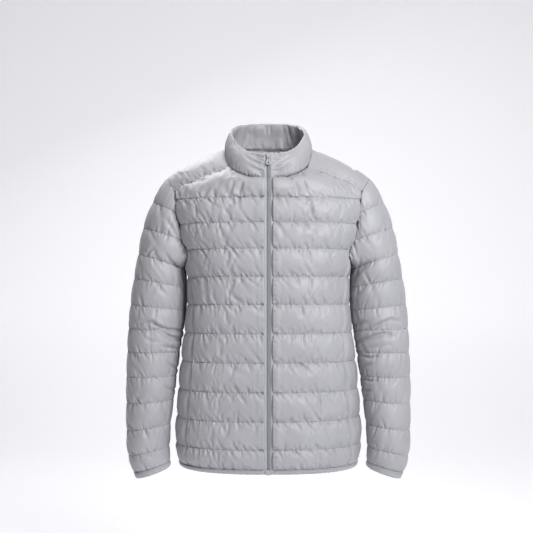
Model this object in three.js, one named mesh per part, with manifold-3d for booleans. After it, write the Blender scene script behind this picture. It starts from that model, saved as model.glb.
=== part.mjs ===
// Quilted jacket with a stand collar, held open in the shape of a standing figure with the arms down.
// Millimetres. Z is up, the front faces -Y, and +X is the wearer's left. The origin is level with the neck
// end of the shoulder, on the centre line.
import * as THREE from "three";
import { mergeVertices } from "three/addons/utils/BufferGeometryUtils.js";
import Module from "manifold-3d";

// Driving sizes
const cloth_wall = 2.5;
const seam_gap = 0.3;
const baffle_crown = 7;
const section_power = 2.5;
const zip_half_width = 10.3;
const hem_seam_z = -664;
const hem_bottom_z = -673;
const first_line_z = -113;
const chest_bulge = 9;
const underarm_z = -243;
const underarm_rise = 12;
const welt_top_z = -415;
const welt_bottom_z = -572;
const baffle_steps = [0, 0.18, 0.5, 0.82];

// Angles round the neck and the armhole, and the share of a panel's top edge that lies on the neck seam
const neck_share = 0.4;
const yoke_turn = 62;
const back_yoke_turn = 120;
const yoke_edge_turn = 38;
const first_line_turn = 46;
const underarm_turn = 140;

// The armhole seam and the sleeve head under it
const armhole_gap = 0.8;
const underarm_gap = 1.2;
const head_bulge = 11;
const front_bulge = 6;
const armhole_centre = { x: 190, y: 0, z: -150 };

// Collar, bindings, zip strips and pocket welts
const collar_thickness = 6;
const collar_swell = 3;
const binding_height = 2.2;
const binding_gathers = 24;
const chain_half_width = 3.5;
const tape_height = 0.2;
const tape_thickness = 1.2;
const chain_height = 1.5;
const welt_columns = [0.4, 0.68, 0.95];
const welt_lift = 0.9;
const welt_height = 1.6;

// Slider sizes, in the slider's own frame: x across, y up the zip from the hinge of the pull tab, z outwards
const hinge_row = 11.76;
const plate_lift = 2.1;
const plate_thickness = 2.4;
const plate_top = 11;
const plate_end = -5.5;
const bar_half = 0.75;
const bar_clearance = 0.5;
const bridge_wall = 1.2;
const bridge_half_width = 1.2;
const hinge_height = plate_lift + plate_thickness + bar_half + bar_clearance;

// The pull tab and the end box
const tab_neck_half = 3.4;
const tab_window_half = 1.55;
const tab_window_end = -4.9;
const tab_end = -17.5;
const tab_end_radius = 5.2;
const hole_radius = 2;
const hole_sides = 12;
const box_row = -0.1;
const box_half_width = 5.4;
const box_half_height = 5;
const box_low = 0.6;
const box_high = 4.2;

// Heights of the stitch lines round the body, from the hem seam up to the first line under the neck
const body_lines = [hem_seam_z, -624, -568, -510, -451, -392, -333, -276, -219, -165, first_line_z];

// The body's section at each height, measured over the stitch lines
const body_sections = [
  { z: hem_bottom_z, half_width: 187, half_depth: 126 },
  { z: hem_seam_z, half_width: 190, half_depth: 128 },
  { z: -624, half_width: 197.5, half_depth: 134 },
  { z: -568, half_width: 193, half_depth: 133 },
  { z: -510, half_width: 189, half_depth: 132 },
  { z: -451, half_width: 184, half_depth: 130 },
  { z: -392, half_width: 177, half_depth: 128 },
  { z: -333, half_width: 172, half_depth: 127 },
  { z: -280, half_width: 170, half_depth: 126 },
  { z: -243, half_width: 177, half_depth: 125 },
  { z: -219, half_width: 181.6, half_depth: 124 },
  { z: -165, half_width: 200, half_depth: 120 },
  { z: first_line_z, half_width: 208, half_depth: 112 },
];

// The front panel's outer edge: the panel seam up to the underarm, then the armhole
const panel_edge = [
  { z: hem_bottom_z, x: 165 },
  { z: hem_seam_z, x: 167 },
  { z: -624, x: 169 },
  { z: -568, x: 165 },
  { z: -490, x: 158 },
  { z: -415, x: 154 },
  { z: -355, x: 153 },
  { z: -285, x: 158 },
  { z: -231, x: 167 },
  { z: -193, x: 181 },
  { z: -161, x: 189 },
  { z: -124, x: 194 },
  { z: first_line_z, x: 195.5 },
];

// The neck seam, by the angle round the neck from the front, and the collar's rolled top edge above it
const neck_seam = [
  { turn: 0, x: 0, y: -95, z: -72 },
  { turn: 25, x: 40, y: -91, z: -69 },
  { turn: 45, x: 66, y: -78, z: -58 },
  { turn: 62, x: 83, y: -57, z: -43 },
  { turn: 76, x: 90.2, y: -33, z: -20.6 },
  { turn: 83, x: 93, y: -18, z: -9.2 },
  { turn: 90, x: 94, y: -4, z: -1 },
  { turn: 120, x: 84, y: 34, z: 8 },
  { turn: 150, x: 48, y: 56, z: 12 },
  { turn: 180, x: 0, y: 64, z: 13 },
];
const collar_edge = [
  { turn: 0, x: 0, y: -82, z: -18 },
  { turn: 25, x: 34, y: -78, z: -14 },
  { turn: 45, x: 56, y: -66, z: -3 },
  { turn: 62, x: 70, y: -48, z: 14 },
  { turn: 76, x: 77, y: -26, z: 32 },
  { turn: 90, x: 79, y: -2, z: 46 },
  { turn: 120, x: 70, y: 28, z: 62 },
  { turn: 150, x: 40, y: 46, z: 69 },
  { turn: 180, x: 0, y: 52, z: 71 },
];

// The shoulder from neck (along 0) to armhole (along 1): the yoke's front seam, crest and back seam
const yoke_front = [
  { along: 0, x: 83, y: -57, z: -43 },
  { along: 0.35, x: 125, y: -58, z: -59 },
  { along: 0.75, x: 169, y: -54, z: -76 },
  { along: 1, x: 199, y: -46, z: -93 },
];
const shoulder_crest = [
  { along: 0, x: 94, y: -4, z: -1 },
  { along: 0.45, x: 150, y: -2, z: -24 },
  { along: 0.78, x: 192, y: 0, z: -43 },
  { along: 1, x: 220, y: 0, z: -61.5 },
];
const yoke_back = [
  { along: 0, x: 84, y: 34, z: 8 },
  { along: 0.45, x: 140, y: 52, z: -30 },
  { along: 0.75, x: 174, y: 55, z: -58 },
  { along: 1, x: 199, y: 46, z: -93 },
];

// The sleeve's rings, by stitch line: its outer and inner edge seen from the front, and its depth
const sleeve_rings = [
  { line: 3, outer_x: 279, outer_z: -224, inner_x: 181, inner_z: -257, mid_y: 0, half_depth: 61 },
  { line: 4, outer_x: 289, outer_z: -277, inner_x: 176.5, inner_z: -296, mid_y: -1, half_depth: 61 },
  { line: 5, outer_x: 296, outer_z: -334, inner_x: 177.5, inner_z: -348, mid_y: -4, half_depth: 60 },
  { line: 6, outer_x: 299, outer_z: -385, inner_x: 184, inner_z: -388, mid_y: -9, half_depth: 58 },
  { line: 7, outer_x: 300, outer_z: -434, inner_x: 191, inner_z: -434, mid_y: -14, half_depth: 56 },
  { line: 8, outer_x: 301, outer_z: -485, inner_x: 198, inner_z: -485, mid_y: -20, half_depth: 54 },
  { line: 9, outer_x: 300, outer_z: -540, inner_x: 203, inner_z: -534, mid_y: -26, half_depth: 53 },
  { line: 10, outer_x: 298, outer_z: -597, inner_x: 209, inner_z: -584, mid_y: -32, half_depth: 50 },
  { line: 11, outer_x: 296, outer_z: -650, inner_x: 211, inner_z: -633, mid_y: -37, half_depth: 47 },
  { line: 12, outer_x: 281, outer_z: -687, inner_x: 208, inner_z: -666, mid_y: -40, half_depth: 37 },
  { line: 13, outer_x: 276, outer_z: -697, inner_x: 210, inner_z: -675, mid_y: -41, half_depth: 35 },
];
const cuff_seam_line = 12;
const pressed_sleeve_line = 6;

// The two stitch lines over the sleeve head run into the armhole, falling as they go in
const head_lines = [
  { line: 1, outer_x: 251, outer_z: -114, fall: 0.436 },
  { line: 2, outer_x: 267, outer_z: -170, fall: 0.33 },
];

// The largest creases, as soft troughs across a sleeve seen from the front
const sleeve_creases = [
  { side: -1, x0: 275, z0: -362, x1: 186, z1: -393, depth: 5, reach: 11 },
  { side: -1, x0: 220, z0: -402, x1: 186, z1: -414, depth: 4, reach: 9 },
  { side: 1, x0: 217, z0: -384, x1: 283, z1: -364, depth: 5, reach: 11 },
  { side: 1, x0: 197, z0: -412, x1: 256, z1: -400, depth: 4, reach: 9 },
];

const grey_nylon = new THREE.MeshStandardMaterial({ color: 0xa9a9b0, roughness: 0.55 });
const zip_cloth = new THREE.MeshStandardMaterial({ color: 0xb4b6bd, roughness: 0.8 });
const zip_teeth = new THREE.MeshStandardMaterial({ color: 0x8f9198, roughness: 0.6 });
const painted_metal = new THREE.MeshStandardMaterial({ color: 0x9a9ca3, roughness: 0.4, metalness: 0.2 });

// Straight interpolation of every other column of a table by one of its columns
function row_at(table, key, value) {
  const rising = table[0][key] < table[table.length - 1][key];
  let i = 0;
  while (i < table.length - 2 && (rising ? value > table[i + 1][key] : value < table[i + 1][key])) i += 1;
  const share = (value - table[i][key]) / (table[i + 1][key] - table[i][key]);
  const row = {};
  for (const [name, start] of Object.entries(table[i])) {
    row[name] = start + (table[i + 1][name] - start) * share;
  }
  return row;
}

const point_of = (row, side = 1) => new THREE.Vector3(side * row.x, row.y, row.z);
const mix = (a, b, share) => a.clone().lerp(b, share);
const radians = THREE.MathUtils.degToRad;

// A closed solid from triangles of points: equal points are joined and the faces turned outwards
function solid(name, triangles, material) {
  const places = new Map();
  const points = [];
  const index_of = (p) => {
    const key = [p.x, p.y, p.z].map((value) => Math.round(value * 500)).join(" ");
    if (!places.has(key)) {
      places.set(key, points.length);
      points.push(p);
    }
    return places.get(key);
  };
  let faces = triangles.map((corners) => corners.map(index_of));
  faces = faces.filter(([a, b, c]) => a !== b && b !== c && c !== a);
  let volume = 0;
  for (const [a, b, c] of faces) volume += points[a].dot(points[b].clone().cross(points[c]));
  if (volume < 0) faces = faces.map(([a, b, c]) => [a, c, b]);
  const geometry = new THREE.BufferGeometry().setFromPoints(points);
  geometry.setIndex(faces.flat());
  geometry.computeVertexNormals();
  const mesh = new THREE.Mesh(geometry, material);
  mesh.name = name;
  return mesh;
}

// Triangles between two lists of points that run side by side, each with its place along the run
function strip(first, second) {
  const triangles = [];
  let i = 0;
  let j = 0;
  while (i < first.length - 1 || j < second.length - 1) {
    const next_first = i < first.length - 1 ? first[i + 1].place : Infinity;
    const next_second = j < second.length - 1 ? second[j + 1].place : Infinity;
    if (next_first <= next_second) {
      triangles.push([first[i].point, first[i + 1].point, second[j].point]);
      i += 1;
    } else {
      triangles.push([first[i].point, second[j + 1].point, second[j].point]);
      j += 1;
    }
  }
  return triangles;
}

// A cloth wall. spot(u, v) gives a point and the outward direction, raised(u, v) the height of the outer face
// over it, and the inner face stays plain. A closed wall joins its last column to its first.
function wall({ name, spot, raised, columns, outer_rows, inner_rows, closed, material, thickness }) {
  const lift = (u, v, height) => {
    const { point, out } = spot(u, v);
    return { point: point.clone().addScaledVector(out, height), place: v };
  };
  const outer = columns.map((u) => outer_rows.map((v) => lift(u, v, raised(u, v))));
  const inner = columns.map((u) => inner_rows.map((v) => lift(u, v, -(thickness ?? cloth_wall))));
  const triangles = [];
  const count = closed ? columns.length : columns.length - 1;
  for (let c = 0; c < count; c += 1) {
    const d = (c + 1) % columns.length;
    for (const [face, turn] of [[outer, false], [inner, true]]) {
      for (let r = 0; r < face[c].length - 1; r += 1) {
        const [p, q] = [face[c][r].point, face[c][r + 1].point];
        const [s, t] = [face[d][r].point, face[d][r + 1].point];
        triangles.push(turn ? [p, q, t] : [p, t, q], turn ? [p, t, s] : [p, s, t]);
      }
    }
    const ends = [[0, 0, true], [outer_rows.length - 1, inner_rows.length - 1, false]];
    for (const [row, inner_row, turn] of ends) {
      const [p, s] = [outer[c][row].point, outer[d][row].point];
      const [q, t] = [inner[c][inner_row].point, inner[d][inner_row].point];
      triangles.push(turn ? [p, q, t] : [p, t, q], turn ? [p, t, s] : [p, s, t]);
    }
  }
  if (!closed) {
    triangles.push(...strip(outer[0], inner[0]));
    const last = columns.length - 1;
    triangles.push(...strip(outer[last], inner[last]).map(([a, b, c]) => [a, c, b]));
  }
  return solid(name, triangles, material ?? grey_nylon);
}

// The outward direction of a surface at a place, from its slopes there, on the side away from an inner point
function spot_on(surface, p, q, inner_point, step_p = 0.01, step_q = 0.01) {
  const point = surface(p, q);
  const along_p = surface(p + step_p, q).sub(surface(p - step_p, q));
  const along_q = surface(p, q + step_q).sub(surface(p, q - step_q));
  const out = along_p.cross(along_q).normalize();
  if (out.dot(point.clone().sub(inner_point)) < 0) out.negate();
  return { point, out };
}

// Rows of a quilted wall: several to each baffle outside, and the stitch lines alone inside
function quilt_rows(baffles, extra_inner = []) {
  const outer = [];
  for (let k = 0; k < baffles; k += 1) for (const step of baffle_steps) outer.push(k + step);
  outer.push(baffles);
  const inner = [...Array(baffles + 1).keys(), ...extra_inner].sort((a, b) => a - b);
  return { outer_rows: outer, inner_rows: inner };
}

// The swell of a baffle between two stitch lines, uneven from gather to gather
function baffle_height(v, column, fullness) {
  const t = v - Math.floor(v);
  const gather = 1 + 0.16 * Math.sin(2.4 * column + 1.9 * Math.floor(v));
  return baffle_crown * fullness * gather * Math.sin(Math.PI * t) ** 0.6;
}

// A point of the body's section: the angle is 90 degrees at the front, 0 at the side and -90 at the back
function body_point(side, z, angle) {
  const { half_width, half_depth } = row_at(body_sections, "z", z);
  const across = Math.abs(Math.cos(angle)) ** (2 / section_power);
  const deep = Math.sign(Math.sin(angle)) * Math.abs(Math.sin(angle)) ** (2 / section_power);
  return new THREE.Vector3(side * half_width * across, -half_depth * deep, z);
}

function angle_at(x, z) {
  return Math.acos((x / row_at(body_sections, "z", z).half_width) ** (section_power / 2));
}

const line_count = body_lines.length - 1;
const underarm_line = 7;
const zip_turn = (neck_seam[1].turn * zip_half_width) / neck_seam[1].x;
const seam_columns = [0.0008, 0.07, 0.14, 0.22, 0.31, neck_share, 0.55, 0.7, 0.83, 0.93, 0.9992];
const bottom_row = 0.004;
// Rows of the inner face between the stitch lines: by the foot of the armhole, and halfway up the chest
const inner_rows_between = [7.79, 10.5];
const upper_back_steps = [0.09, 0.25, 0.41, 0.5, 0.59, 0.75, 0.91];

function line_z(v) {
  const k = THREE.MathUtils.clamp(Math.floor(v), 0, line_count - 1);
  return body_lines[k] + (body_lines[k + 1] - body_lines[k]) * (v - k);
}

const along_yoke = (share) => (share - neck_share) / (1 - neck_share);

// The top edge of the front (facing 1) or the back (facing -1): along the neck seam, then the yoke seam
function top_edge(side, facing, share) {
  const yoke = facing > 0 ? yoke_front : yoke_back;
  if (share > neck_share) return point_of(row_at(yoke, "along", along_yoke(share)), side);
  const first = facing > 0 ? zip_turn : 180;
  const last = facing > 0 ? yoke_turn : back_yoke_turn;
  return point_of(row_at(neck_seam, "turn", first + ((last - first) * share) / neck_share), side);
}

// A front or back panel: share runs from the middle to the panel seam, v counts stitch lines up from the hem
function panel_base(side, facing, share, v) {
  if (v > line_count) {
    const t = v - line_count;
    const low = panel_base(side, facing, share, line_count);
    const swell = chest_bulge * (1 - share) * 4 * t * (1 - t);
    return low.lerp(top_edge(side, facing, share), t).add(new THREE.Vector3(0, -facing * swell, 0.5 * swell));
  }
  const z = line_z(v);
  const middle = facing > 0 ? angle_at(zip_half_width, z) : Math.PI / 2;
  const edge = angle_at(row_at(panel_edge, "z", z).x, z);
  return body_point(side, z, facing * (middle + (edge - middle) * share));
}

// Where two pieces meet over the top of the armhole they share one outward direction
function armhole_out(side, turn) {
  const top = Math.cos(radians(turn));
  return new THREE.Vector3(side * 0.72 * Math.abs(top), -Math.sin(radians(turn)), 0.7 * top).normalize();
}

function panel_spot(side, facing, share, v) {
  const centre = new THREE.Vector3(0, 0, line_z(Math.min(v, line_count)));
  const found = spot_on((p, q) => panel_base(side, facing, p, q), share, v, centre);
  const corner_turn = (yoke_edge_turn + first_line_turn) / 2;
  if (v > line_count && share > 0.99) found.out = armhole_out(side, facing * corner_turn);
  else if (v > line_count + 0.99 && share > neck_share) {
    found.out = found.out.add(yoke_out(side, facing, share)).normalize();
  }
  return found;
}

// The yoke's own outward direction at its seam with a panel
function yoke_out(side, facing, share) {
  const inner_point = new THREE.Vector3(side * 150, 0, -150);
  return spot_on((p, q) => yoke_base(side, p, q), along_yoke(share), facing > 0 ? 0 : 1, inner_point).out;
}

// Fullness of a panel's baffles: pinched into the seams, a little less at the zip edge
function panel_fullness(share, at_middle) {
  const outer_edge = THREE.MathUtils.clamp((1 - share) / 0.09, 0.1, 1);
  const inner_edge = THREE.MathUtils.clamp(at_middle + share / 0.09, 0, 1);
  return outer_edge * inner_edge;
}

function panel_rows(top, extra) {
  const rows = quilt_rows(top, extra);
  rows.outer_rows[0] = bottom_row;
  rows.inner_rows[0] = bottom_row;
  rows.outer_rows[rows.outer_rows.length - 1] -= bottom_row;
  rows.inner_rows[rows.inner_rows.length - 1] -= bottom_row;
  return rows;
}

function front_height(share, v) {
  const edge_row = v < bottom_row * 2 || v > line_count + 1 - bottom_row * 2;
  return edge_row ? 0 : baffle_height(v, share * 8, panel_fullness(share, 0.45));
}

function front_panel(name, side) {
  return wall({
    name,
    spot: (u, v) => panel_spot(side, 1, u, v),
    raised: front_height,
    columns: seam_columns,
    ...panel_rows(line_count + 1, inner_rows_between),
  });
}

function back_panel(name) {
  const half = seam_columns.slice(1);
  const back_rows = panel_rows(line_count + 1, inner_rows_between);
  const lower_rows = back_rows.outer_rows.filter((v) => v <= line_count);
  const upper_rows = upper_back_steps.map((t) => line_count + t);
  return wall({
    name,
    spot: (u, v) => panel_spot(u < 0 ? -1 : 1, -1, Math.abs(u), v),
    raised: (u, v) => {
      const upper = v > line_count ? (v - line_count) * 2 : v;
      if (v < bottom_row * 2 || v > line_count + 1 - bottom_row * 2) return 0;
      return baffle_height(upper, u * 8 + 3, panel_fullness(Math.abs(u), 1));
    },
    columns: [...half.map((share) => -share).reverse(), 0, ...half],
    outer_rows: [...lower_rows, ...upper_rows, line_count + 1 - bottom_row],
    inner_rows: back_rows.inner_rows,
  });
}

// The side panel: across runs from -1 at the front seam to 1 at the back seam
function side_base(side, across, v) {
  const top = underarm_z + underarm_rise * across * across;
  const low = body_lines[underarm_line];
  const z = v > underarm_line ? low + (top - low) * (v - underarm_line) : line_z(v);
  return body_point(side, z, -across * angle_at(row_at(panel_edge, "z", z).x, z));
}

// Under the arm, the row that meets the front panel's own row at the seam
function shared_row(v) {
  const front_rise = body_lines[underarm_line + 1] - body_lines[underarm_line];
  const side_rise = underarm_z + underarm_rise - body_lines[underarm_line];
  return underarm_line + Math.min(0.9, ((v - underarm_line) * front_rise) / side_rise);
}

// The side panel's baffles, flatter where the sleeve hangs against them
function side_height(side, across, v) {
  if (v < bottom_row * 2 || v > underarm_line + 1 - bottom_row * 2) return 0;
  const middle = v > underarm_line - 2 ? 0.3 : 0.5;
  const pressed = middle + (0.8 - middle) * Math.abs(across);
  const by_seam = THREE.MathUtils.clamp((1 - Math.abs(across)) / 0.2, 0.1, 1);
  return baffle_height(v, across * 3 + side, pressed * by_seam);
}

function side_panel(name, side) {
  const rows = panel_rows(underarm_line + 1, []);
  const side_rows = rows.outer_rows.map((v) => {
    const by_armhole = v > underarm_line && v < underarm_line + 0.9;
    return by_armhole ? shared_row(v) : v;
  });
  return wall({
    name,
    spot: (u, v) => spot_on((p, q) => side_base(side, p, q), u, v, new THREE.Vector3(0, 0, line_z(v))),
    raised: (u, v) => side_height(side, u, v),
    columns: [-0.993, -0.8, -0.4, 0, 0.4, 0.8, 0.993],
    outer_rows: side_rows,
    inner_rows: rows.inner_rows,
  });
}

// The yoke over the shoulder: along runs from neck to armhole, across from the front seam to the back one
function yoke_base(side, along, across) {
  const front = point_of(row_at(yoke_front, "along", along), side);
  const crest = point_of(row_at(shoulder_crest, "along", along), side);
  const back = point_of(row_at(yoke_back, "along", along), side);
  const point = front.multiplyScalar((1 - across) * (1 - 2 * across));
  point.addScaledVector(crest, 4 * across * (1 - across));
  return point.addScaledVector(back, across * (2 * across - 1));
}

function yoke(name, side) {
  const rows = [0.002, 0.12, 0.3, 0.5, 0.7, 0.88, 0.998];
  return wall({
    name,
    spot: (u, v) => {
      const found = spot_on((p, q) => yoke_base(side, p, q), u, v, new THREE.Vector3(side * 150, 0, -150));
      if (u > 0.99) found.out = armhole_out(side, yoke_edge_turn * (1 - 2 * v));
      else if (v < 0.01 || v > 0.99) {
        const facing = v < 0.5 ? 1 : -1;
        const share = neck_share + Math.max(u, 0.01) * (1 - neck_share);
        found.out = panel_spot(side, facing, share, line_count + 1).out;
      }
      return found;
    },
    raised: (u, v) => 3 * (Math.sin(Math.PI * u) * Math.sin(Math.PI * v)) ** 0.5,
    columns: [0.002, ...seam_columns.filter((share) => share > neck_share).map(along_yoke)],
    outer_rows: rows,
    inner_rows: rows,
  });
}

// The armhole, by the angle round it: 0 at the shoulder tip, 90 at the front, 180 under the arm
function armhole(side, turn) {
  const half_turn = turn > 180 ? 360 - turn : turn;
  const facing = turn > 180 ? -1 : 1;
  let point;
  if (half_turn <= yoke_edge_turn) point = yoke_base(side, 1, 0.5 - (0.5 * half_turn) / yoke_edge_turn);
  else if (half_turn <= first_line_turn) {
    const share = (half_turn - yoke_edge_turn) / (first_line_turn - yoke_edge_turn);
    point = mix(top_edge(side, 1, 1), panel_base(side, 1, 1, line_count), share);
  } else if (half_turn <= underarm_turn) {
    const share = (half_turn - first_line_turn) / (underarm_turn - first_line_turn);
    const z = first_line_z + (underarm_z + underarm_rise - first_line_z) * share;
    point = body_point(side, z, angle_at(row_at(panel_edge, "z", z).x, z));
  } else point = side_base(side, (half_turn - 180) / (180 - underarm_turn), underarm_line + 1);
  point.y *= facing;
  const gap = armhole_gap + underarm_gap * (0.5 - 0.5 * Math.cos(radians(turn)));
  point.x += side * gap;
  return point;
}

function sleeve_ring(side, turn, line) {
  const ring = row_at(sleeve_rings, "line", line);
  const outer = new THREE.Vector3(side * ring.outer_x, ring.mid_y, ring.outer_z);
  const inner = new THREE.Vector3(side * ring.inner_x, ring.mid_y, ring.inner_z);
  const centre = mix(outer, inner, 0.5);
  const point = centre.clone().addScaledVector(outer.sub(centre), Math.cos(radians(turn)));
  return point.add(new THREE.Vector3(0, -ring.half_depth * Math.sin(radians(turn)), 0));
}

// The sleeve's surface: run goes from 0 at the armhole to 1 at the first full ring, then one to each line
function sleeve_base(side, turn, run) {
  if (run > 1) return sleeve_ring(side, turn, sleeve_rings[0].line + run - 1);
  const point = mix(armhole(side, (turn + 360) % 360), sleeve_ring(side, turn, sleeve_rings[0].line), run);
  const outward = head_bulge * Math.max(0, Math.cos(radians(turn))) ** 2;
  const swell = 4 * run * (1 - run);
  point.x += side * 0.94 * outward * swell;
  point.z += 0.34 * outward * swell;
  point.y -= front_bulge * Math.sin(radians(turn)) * swell;
  return point;
}

// How far down the sleeve head a stitch line lies at this angle, or 0 where it has run into the armhole
function head_run(side, turn, head) {
  const above = (run) => {
    const point = sleeve_base(side, turn, run);
    return point.z - (head.outer_z - head.fall * (head.outer_x - side * point.x));
  };
  if (above(0) <= 0) return 0;
  let low = 0;
  let high = 1;
  for (let step = 0; step < 30; step += 1) {
    const middle = (low + high) / 2;
    if (above(middle) > 0) low = middle;
    else high = middle;
  }
  return low;
}

function sleeve_run(side, turn, v) {
  if (v >= sleeve_rings[0].line) return v - sleeve_rings[0].line + 1;
  const stops = [0, head_run(side, turn, head_lines[0]), head_run(side, turn, head_lines[1]), 1];
  const k = Math.min(Math.floor(v), 2);
  return stops[k] + (stops[k + 1] - stops[k]) * (v - k);
}

function sleeve_centre(side, run) {
  const ring = row_at(sleeve_rings, "line", sleeve_rings[0].line + Math.max(0, run - 1));
  const centre = new THREE.Vector3((side * (ring.outer_x + ring.inner_x)) / 2, ring.mid_y, 0);
  centre.z = (ring.outer_z + ring.inner_z) / 2;
  return run < 1 ? point_of(armhole_centre, side).lerp(centre, run) : centre;
}

function sleeve_spot(side, turn, v) {
  const run = sleeve_run(side, turn, v);
  const found = spot_on((p, q) => sleeve_base(side, p, q), turn, run, sleeve_centre(side, run), 1, 0.01);
  const from_top = turn > 180 ? turn - 360 : turn;
  if (run === 0 && Math.abs(from_top) < 50) found.out = armhole_out(side, from_top);
  return found;
}

// How deep the large creases cut at a point of the front half of a sleeve
function crease_depth(side, point) {
  let depth = 0;
  for (const crease of sleeve_creases.filter((row) => row.side === side)) {
    const start = new THREE.Vector3(side * crease.x0, 0, crease.z0);
    const end = new THREE.Vector3(side * crease.x1, 0, crease.z1);
    const flat = new THREE.Vector3(point.x, 0, point.z);
    const near = new THREE.Line3(start, end).closestPointToPoint(flat, true, new THREE.Vector3());
    depth += crease.depth * Math.exp(-((flat.distanceTo(near) / crease.reach) ** 2));
  }
  return point.y < 0 ? depth : depth / 2;
}

// The sleeve's baffles, flatter along its outer edge and where it hangs against the body
function sleeve_height(side, turn, v) {
  const k = Math.floor(v);
  if (v === k || v > cuff_seam_line - bottom_row * 2) return 0;
  const reach = sleeve_base(side, turn, sleeve_run(side, turn, k))
    .distanceTo(sleeve_base(side, turn, sleeve_run(side, turn, k + 1)));
  const facing = Math.cos(radians(turn));
  const pressed = (v < pressed_sleeve_line ? 0.8 : 0.55) * Math.max(0, -facing) ** 1.5;
  const fullness = Math.min(1, reach / 40) * (1 - 0.4 * Math.max(0, facing) ** 1.5 - pressed);
  const crease = crease_depth(side, sleeve_base(side, turn, sleeve_run(side, turn, v)));
  return Math.max(0, baffle_height(v, turn / 20, fullness) - crease * fullness);
}

function sleeve(name, side) {
  const rows = quilt_rows(cuff_seam_line);
  rows.outer_rows[rows.outer_rows.length - 1] -= bottom_row;
  rows.inner_rows[rows.inner_rows.length - 1] -= bottom_row;
  return wall({
    name,
    spot: (u, v) => sleeve_spot(side, u, v),
    raised: (u, v) => sleeve_height(side, u, v),
    columns: [...Array(20).keys()].map((i) => i * 18),
    closed: true,
    ...rows,
  });
}

// The collar: turn runs round from the right edge of the zip, past the back at 180, to the left edge
function collar_base(turn, up) {
  const side = turn > 180 ? -1 : 1;
  const half_turn = turn > 180 ? 360 - turn : turn;
  const low = point_of(row_at(neck_seam, "turn", half_turn));
  const high = point_of(row_at(collar_edge, "turn", half_turn));
  const point = mix(low, high, up);
  if (half_turn < 90) point.x = Math.max(point.x, zip_half_width + 0.1);
  const bulge = collar_swell * 4 * up * (1 - up);
  point.x += bulge * Math.sin(radians(half_turn));
  point.y -= bulge * Math.cos(radians(half_turn));
  point.x *= side;
  return point;
}

// The collar's padding, its rolled edge, and the gathers that fan out from the zip
function collar_height(turn, up) {
  const half_turn = turn > 180 ? 360 - turn : turn;
  if (up < 0.01) return 0;
  const roll = up > 0.96 ? -1.6 : 0;
  const fan = 1.1 * Math.sin(2 * Math.PI * (3.2 * up + half_turn / 40)) * Math.exp(-half_turn / 45);
  const padding = 2.6 * Math.sin(Math.PI * Math.min(up, 0.9)) ** 0.5;
  const edge = THREE.MathUtils.clamp((half_turn - zip_turn) / 6 + 0.4, 0.4, 1);
  return (padding + fan) * edge + roll;
}

function collar(name) {
  const front_seam = seam_columns.filter((share) => share > 0.01 && share <= neck_share);
  const front_turns = front_seam.map((share) => zip_turn + ((yoke_turn - zip_turn) * share) / neck_share);
  const half = [zip_turn, 9, 12.5, ...front_turns, 69, 76, 83, 90, 105, 120, 135, 150, 165];
  const rows = [0.006, 0.12, 0.24, 0.36, 0.48, 0.6, 0.72, 0.84, 0.93, 1];
  return wall({
    name,
    spot: (u, v) => {
      const found = spot_on(collar_base, u, v, new THREE.Vector3(0, 0, 0), 0.5, 0.01);
      if (u === zip_turn || u === 360 - zip_turn) found.out.setX(0).normalize();
      return found;
    },
    raised: collar_height,
    columns: [...half, 180, ...half.map((turn) => 360 - turn).reverse()],
    outer_rows: rows,
    inner_rows: [0.006, 0.5, 0.9, 1],
    thickness: collar_thickness,
  });
}

// The hem's line: round runs from 0 at the left edge of the zip to 1 at the back and 2 at the right edge
function hem_base(round, down) {
  const z = hem_seam_z - seam_gap + (hem_bottom_z - hem_seam_z + seam_gap) * down;
  const side = round > 1 ? -1 : 1;
  const half = round > 1 ? 2 - round : round;
  const first = angle_at(zip_half_width, z);
  return body_point(side, z, first - (first + Math.PI / 2) * half);
}

function hem_binding(name) {
  const count = 2 * binding_gathers;
  const gather = (u) => 0.5 * Math.cos((Math.PI * u * count) / 2);
  return wall({
    name,
    spot: (u, v) => spot_on(hem_base, u, v, new THREE.Vector3(0, 0, hem_seam_z), 0.002, 0.05),
    raised: (u, v) => binding_height * (0.55 + 0.45 * Math.sin(Math.PI * v)) + gather(u),
    columns: [...Array(count + 1).keys()].map((i) => (2 * i) / count),
    outer_rows: [0, 0.3, 0.7, 1],
    inner_rows: [0, 1],
  });
}

function cuff_binding(name, side) {
  const gather = (turn) => 0.4 * Math.cos(radians(turn * 12));
  return wall({
    name,
    spot: (u, v) => spot_on((p, q) => sleeve_ring(side, p, q), u, v, sleeve_centre(side, 11), 1, 0.05),
    raised: (u, v) => binding_height * (0.55 + 0.45 * Math.sin(Math.PI * (v - cuff_seam_line))) + gather(u),
    columns: [...Array(24).keys()].map((i) => i * 15),
    outer_rows: [0.03, 0.3, 0.7, 1].map((t) => cuff_seam_line + t),
    inner_rows: [0.03, 1].map((t) => cuff_seam_line + t),
    closed: true,
  });
}

// A point of the zip's middle plane: v counts the stitch lines and the neck, then one more up the collar
function zip_point(x, v) {
  const neck = line_count + 1;
  const point = v <= neck ? panel_base(1, 1, 0, v) : collar_base(zip_turn, v - neck);
  point.x = x;
  return point;
}

const zip_rows_by_line = [...Array(line_count + 1).keys()].slice(1);
const zip_rows_above = [10.25, 10.5, 10.75, 11, 11.2, 11.4, 11.6, 11.8, 12];
const zip_rows = [-0.22, ...zip_rows_by_line, ...zip_rows_above];
const chain_rows = [0.06, ...zip_rows.slice(1)];

function zip_strip(name, low_x, high_x, height, rows, material) {
  return wall({
    name,
    spot: (u, v) => spot_on(zip_point, u, v, new THREE.Vector3(u, 0, -300), 0.5, 0.01),
    raised: () => height,
    columns: [low_x, high_x],
    outer_rows: rows,
    inner_rows: rows,
    thickness: tape_thickness,
    material,
  });
}

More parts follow.
